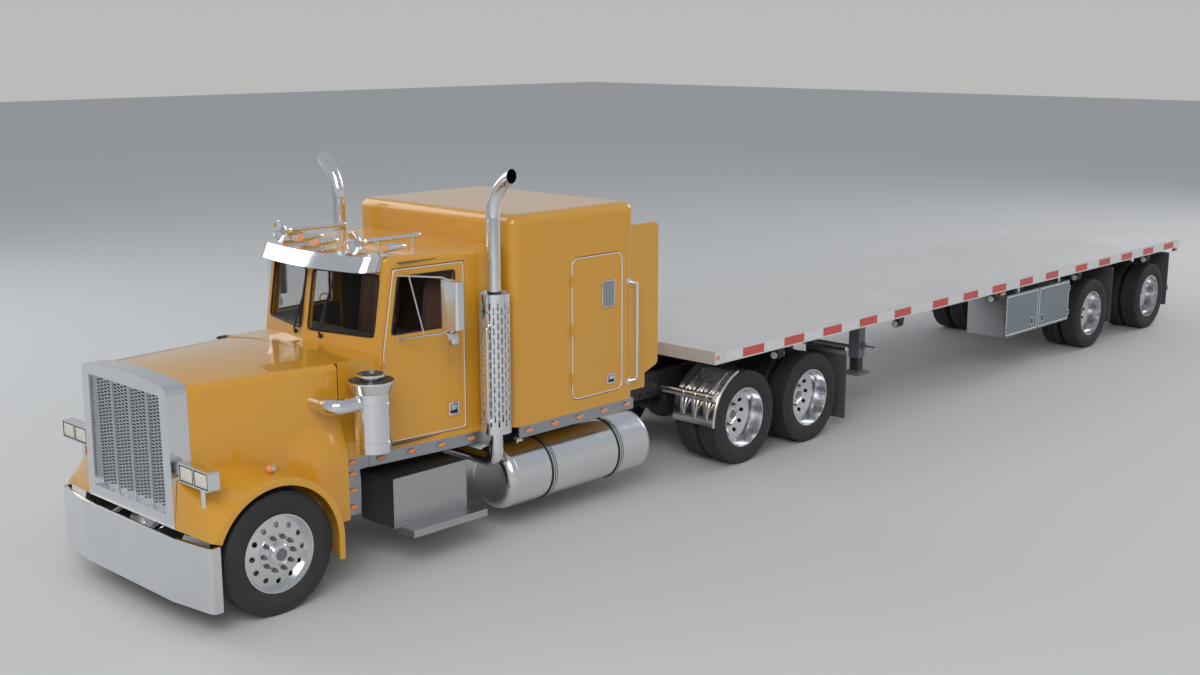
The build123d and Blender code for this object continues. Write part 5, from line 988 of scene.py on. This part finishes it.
for side, way in sides:
    x = way * seatLook["x"]
    base = [(x - half, x + half, *rest) for half, *rest in seatLook["base"]]
    addSlabs(f"seatBase_{side}", base, blackPlastic, "tractor", bevel=0.012)
    for part in ("Cushion", "Back", "Head"):
        place, halves, lean, channels = seatLook[part]
        addCushion(f"seat{part}_{side}", at(x, *place), halves, lean, channels)
    posts = [[at(x + dx, 2.395, 2.38), at(x + dx, 2.410, 2.48)] for dx in seatLook["posts"]]
    addTube(f"seatHeadPosts_{side}", posts, chrome, "tractor", 0.007)
print("cab inside ready")


# Fuel tanks, step boxes and air cleaners

tankLook = {"x": 0.889, "z": 0.542, "bands": (3.121, 4.064), "seams": (2.66, 4.49),
            "cap": (0.889, 2.93, 0.848)}
tankCap = [(0, 0), (0, 0.052), (0.02, 0.052), (0.024, 0.046), (0.036, 0.046), (0.040, 0.040), (0.040, 0)]


def aroundTank(shapes, stations):
    spots = [(tankLook["x"], y, tankLook["z"]) for y in stations]
    return lambda way: [shape for profile in shapes for shape in turnedOn(profile, *spots)(way)]


for name, material, stations, shapes in (
        ("tankLiners", rubberSeal, tankLook["bands"], [band(-0.033, 0.033, 0.310, 0.3195)]),
        ("tankBands", chrome, tankLook["bands"],
         [band(-0.020, -0.006, 0.318, 0.3225), band(0.006, 0.020, 0.318, 0.3225)]),
        ("tankSeams", polishedAluminium, tankLook["seams"], [band(-0.004, 0.004, 0.3095, 0.3125)])):
    addSides(addTurned, name, aroundTank(shapes, stations), material, "tractor", steps=72)
addSides(addTurned, "tankCap", turnedOn(tankCap, tankLook["cap"], axis="Z"), chrome, "tractor", steps=32)
covers = [(0.583, 1.0505, 1.260, 2.117, 0.8575, 0.861), (0.583, 1.0505, 1.2585, 1.262, 0.402, 0.8575),
          (0.583, 1.0505, 2.115, 2.1185, 0.402, 0.8575)]
addSides(addSlabs, "stepBoxCovers", slabsOn(*covers), blackSteel, "tractor", bevel=0.001)
cleanerLook = {"x": 1.098, "station": 1.02, "thick": 0.0012, "intake": 1.632}
# black discs painted as shade: an annulus in the recess between each cleaner's neck and rim, and a disc in
# its cap's recess
cleanerShadeDiscs = (("cleanerMouth", 1.7925, 0.1015, 0.1935), ("cleanerCapDark", 1.8482, 0, 0.1145))
for name, z, inner, outer in cleanerShadeDiscs:
    spot = (cleanerLook["x"], cleanerLook["station"], z)
    ring = turnedOn(band(0, cleanerLook["thick"], inner, outer), spot, axis="Z")
    addSides(addTurned, name, ring, blackPlastic, "tractor")
sleeve = [(x, 0.628, cleanerLook["intake"]) for x in (0.80, 0.9535)]
addSides(addTube, "intakeSleeve", lineOn(sleeve, 0), chrome, "hood", radius=0.0695, resolution=10)
cuff = turnedOn(band(0, 0.020, 0.068, 0.076), (cleanerLook["x"], 0.845, cleanerLook["intake"]))
addSides(addTurned, "intakeCuff", cuff, chrome, "tractor")
print("tanks ready")


# Handles beside the stacks and behind the sleeper doors

grip = [(1.222, 2.284, 2.12), (1.262, 2.205, 2.12), (1.262, 2.205, 1.22), (1.222, 2.284, 1.22)]
rail = [(1.1505, 4.2244, 2.2812), (1.212, 4.282, 2.262), (1.212, 4.282, 1.276), (1.1505, 4.2244, 1.2568)]
foot = ((-0.002, 0), (-0.002, 0.036), (0.006, 0.036), (0.009, 0.028), (0.009, 0))
addSides(addTube, "stackHandle", lineOn(grip, 0.035), chrome, "tractor", radius=0.013, resolution=5)
addSides(addTube, "sleeperHandleSleeve", lineOn(rail, 0.036, steps=8), chrome, "tractor", radius=0.0172,
         resolution=5)
addSides(addTurned, "sleeperHandleFeet",
         lambda way: [(at(way * 1.150, 4.222, z), "X", [(way * along, radius) for along, radius in foot])
                      for z in (2.282, 1.256)], chrome, "tractor", steps=24)
print("handles ready")


# Bolt heads along the frame, and rivets, latches and edges of the toolbox doors

boltLook = {"stations": (4.48, 4.62, 4.76, 5.06, 5.20, 5.34, 5.60, 6.45, 6.60, 7.62, 7.76, 7.90), "x": 0.436,
            "heights": (0.80, 0.97)}
bolts = [(at(way * boltLook["x"], y, z), faceOut[way]) for side, way in sides for y in boltLook["stations"]
         for z in boltLook["heights"]]
addRepeats("frameBolts", boltTree, bolts, castIron, "tractor", Head_radius=0.013, Head_height=0.016,
           Washer_radius=0.018)
boxLook = {"face": 1.2705, "first": 11.90, "pitch": 0.0945, "count": 20, "rows": (0.574, 1.144),
           "middle": 12.79, "rivet": (0.006, 0.006, 0.003)}
rivetStations = [boxLook["first"] + boxLook["pitch"] * index for index in range(boxLook["count"])]
# door, span of its rivets, span of its latch and span of its edge
boxDoors = (("toolbox_door_front", (11.85, 12.79), (12.560, 12.640), (11.865, 12.760)),
            ("toolbox_door_rear", (12.79, 13.73), (12.875, 12.955), (12.820, 13.715)))
for body, (low, high), (y0, y1), edge in boxDoors:
    chosen = [(at(boxLook["face"], y, z), faceOut[1]) for z in boxLook["rows"] for y in rivetStations
              if low < y < high and abs(y - boxLook["middle"]) > 0.04]
    addRepeats(f"{body}_rivets", domeTree, chosen, polishedAluminium, body, smooth=True,
               Size=boxLook["rivet"])
    addSlabs(f"{body}_latch", [(1.2695, 1.276, y0, y1, 0.645, 0.755)], chrome, body, bevel=0.003)
    cup = (1.2755, 1.2768, y0 + 0.012, y1 - 0.012, 0.660, 0.740)
    addSlabs(f"{body}_latchCup", [cup], blackPlastic, body, bevel=0)
    line = lineOn([(boxLook["face"], y, z) for y, z in rectangle(*edge, 0.590, 1.128)], 0.02, True)(1)
    addTube(f"{body}_edge", line, trimAndHighlight, body, 0.005, "polished_aluminium", cyclic=True)
print("bolts ready")


# Flaps, landing legs and winch rolls

lowRows = (("driveFlap", flapPlate, "tractor", 0.003, (0.650, 1.240, 8.0015, 8.0185, 0.146, 0.940)),
           ("driveFlapHolder", greySteel, "tractor", 0.003, (0.648, 1.242, 7.9985, 8.0215, 0.930, 1.004)),
           ("legShoe", blackSteel, "trailer", 0.004, (0.577, 0.707, 9.072, 9.182, 0.470, 0.655)))
for name, material, body, bevel, slab in lowRows:
    addSides(addSlabs, name, slabsOn(slab), material, body, bevel=bevel)
winchStations = (6.630, 9.122, 11.527, 14.006, 16.424)
rolls = turnedOn(band(-0.062, 0.062, 0, 0.047), *((1.2355, y, 1.160) for y in winchStations))
addSides(addTurned, "strapRolls", rolls, rubberSeal, "trailer", steps=24)
plates = slabsOn(*((1.222, 1.2905, y - 0.063, y + 0.063, 1.186, 1.2385) for y in winchStations))
addSides(addSlabs, "winchPlates", plates, blackSteel, "trailer")


# The flare behind each fender: a closed skin that carries the hood's side out to its lower panel

flareLook = {"columns": 28, "rows": 30, "reach": 0.9365, "skin": 0.006, "front": 0.30, "rear": 0.8705,
             "top": 1.52, "inset": 0.004, "riseTop": 1.50, "riseDrop": 0.40, "swellStart": 0.32,
             "swellLength": 0.36, "archRadius": 0.592, "archStation": -0.020, "archHeight": 0.530,
             "lowest": 0.60}


def hoodSide(station):
    return 0.7425 + 0.117 * station


def archTop(station):
    # lowest height of the flare, over the wheel's round space
    look = flareLook
    inside = look["archRadius"] ** 2 - (station - look["archStation"]) ** 2
    return max(look["lowest"], look["archHeight"] + (inside ** 0.5 if inside > 0 else 0))


def eased(share):
    share = min(1.0, max(0.0, share))
    return share * share * (3 - 2 * share)


def flareX(station, z):
    look = flareLook
    side = hoodSide(station) - look["inset"]
    rise = eased((look["riseTop"] - z) / look["riseDrop"])
    swell = eased((station - look["swellStart"]) / look["swellLength"])
    return side + (look["reach"] - side) * (rise * swell)


def addFlare(name, way):
    look = flareLook
    form = bmesh.new()
    skins = []
    for skin in (0.0, look["skin"]):
        grid = []
        for row in range(look["rows"] + 1):
            line = []
            for column in range(look["columns"] + 1):
                station = look["front"] + (look["rear"] - look["front"]) * column / look["columns"]
                z = archTop(station) + (look["top"] - archTop(station)) * row / look["rows"]
                line.append(form.verts.new(at(way * (flareX(station, z) - skin), station, z)))
            grid.append(line)
        skins.append(grid)
        gridFaces(form, grid)
    joinRims(form, *(gridRim(grid) for grid in skins))
    addMesh(name, meshFrom(form, name), bodyPaint, "hood", smooth=True, sharp=skinSharp)


for side, way in sides:
    addFlare(f"hoodFlare_{side}", way)


# The full tube ahead of each quarter fender and the flat straps that hold it

guardLook = {"stations": (0.780, 0.945, 1.110), "station": 6.084, "height": wheelRadius, "reach": 0.612,
             "angle": 150, "radius": 0.045, "chamfer": 0.009, "inner": 0.455, "outer": 1.222,
             "strapHalf": 0.017, "strapThick": 0.006, "wraps": 6, "top": (118, 0.572),
             "low": ((5.505, 0.655), (5.516, 0.580))}


def guardPoint(angle, reach):
    turn = radians(angle)
    return Vector((guardLook["station"] + reach * cos(turn), guardLook["height"] + reach * sin(turn)))


guardCentre = guardPoint(guardLook["angle"], guardLook["reach"])


def guardTube(way):
    a, b = sorted((way * guardLook["inner"], way * guardLook["outer"]))
    r, chamfer = guardLook["radius"], guardLook["chamfer"]
    tube = [(a, 0), (a, r * 0.8), (a + chamfer, r), (b - chamfer, r), (b, r * 0.8), (b, 0)]
    return [(at(0, *guardCentre), "X", tube)]


def guardStraps(way):
    look = guardLook
    half = look["strapThick"] / 2
    top, bow = guardPoint(*look["top"]), look["radius"] + half
    toTop = top - guardCentre
    first = atan2(toTop.y, toTop.x) + acos(bow / toTop.length)
    wrap = [first + (pi - first) * step / look["wraps"] for step in range(look["wraps"] + 1)]
    line = [top] + [guardCentre + bow * Vector((cos(turn), sin(turn))) for turn in wrap]
    line += [Vector(point) for point in look["low"]]
    edges = ([], [])
    for index, point in enumerate(line):
        along = (line[min(index + 1, len(line) - 1)] - line[max(index - 1, 0)]).normalized()
        for edge, shift in zip(edges, (half, -half)):
            edge.append(point + shift * Vector((-along.y, along.x)))
    ribbon = edges[0] + edges[1][::-1]
    across = Vector((2 * look["strapHalf"], 0, 0))
    return [([at(way * x - look["strapHalf"], *point) for point in ribbon], across) for x in look["stations"]]


addSides(addTurned, "guardTubes", guardTube, polishedAluminium, "tractor")
addSides(addPrisms, "guardStraps", guardStraps, polishedAluminium, "tractor")
print("flaps ready")


# Camera, floor and light

cameraLook = {"place": (10.899, -14.871, 4.720), "turn": (78.221, 0.0, 43.545), "lens": 43.86}
cameraData = bpy.data.cameras.new("camera")
cameraData.lens = cameraLook["lens"]
cameraData.sensor_width = 36.0
camera = bpy.data.objects.new("camera", cameraData)
camera.location = cameraLook["place"]
camera.rotation_euler = [radians(angle) for angle in cameraLook["turn"]]
scene.collection.objects.link(camera)
scene.camera = camera

floorLook = {"half": 90.0, "colour": (0.66, 0.66, 0.65), "roughness": 0.7}
floorMesh = bpy.data.meshes.new("floor")
corners = [(floorLook["half"] * a, floorLook["half"] * b, 0) for a, b in ((-1, -1), (1, -1), (1, 1), (-1, 1))]
floorMesh.from_pydata(corners, [], [(0, 1, 2, 3)])
floor = bpy.data.objects.new("floor", floorMesh)
scene.collection.objects.link(floor)
floorPaint, floorTree, floorShader = newMaterial("floorPaint", floorLook["colour"], floorLook["roughness"])
floorMesh.materials.append(floorPaint)

# name, place, power and colour of each lamp, then its side and the point that all look at
lampRows = [("keyLamp", (14, -20, 15), 2300.0, (1.0, 0.985, 0.96)),
            ("fillLamp", (-16, -10, 11), 900.0, (0.95, 0.975, 1.0)),
            ("backLamp", (4, 24, 14), 1500.0, (1.0, 1.0, 1.0))]
lampSide = 12.0
lampTarget = Vector((0, 0, 1.2))
for lampName, place, power, colour in lampRows:
    data = bpy.data.lights.new(lampName, "AREA")
    data.size = lampSide
    data.energy = power
    data.color = colour
    lamp = bpy.data.objects.new(lampName, data)
    lamp.location = place
    lamp.rotation_euler = (lampTarget - Vector(place)).to_track_quat("-Z", "Y").to_euler()
    scene.collection.objects.link(lamp)

worldLook = {"zenith": (0.62, 0.66, 0.72, 1), "horizon": (0.80, 0.80, 0.79, 1), "strength": 0.62, "rise": 1.6}
world = bpy.data.worlds.new("softSky")
scene.world = world
world.use_nodes = True
worldTree = world.node_tree
sky = worldTree.nodes["Background"]
skyPlace = splitVector(worldTree, worldTree.nodes.new("ShaderNodeTexCoord").outputs["Generated"])
skyShare = mathNode(worldTree, "MULTIPLY", skyPlace["Z"], worldLook["rise"], clamp=True)
skyColour = mixColour(worldTree, skyShare, worldLook["horizon"], worldLook["zenith"])
worldTree.links.new(skyColour, sky.inputs["Color"])
sky.inputs["Strength"].default_value = worldLook["strength"]
scene.view_settings.view_transform = "Standard"
print("stage ready")
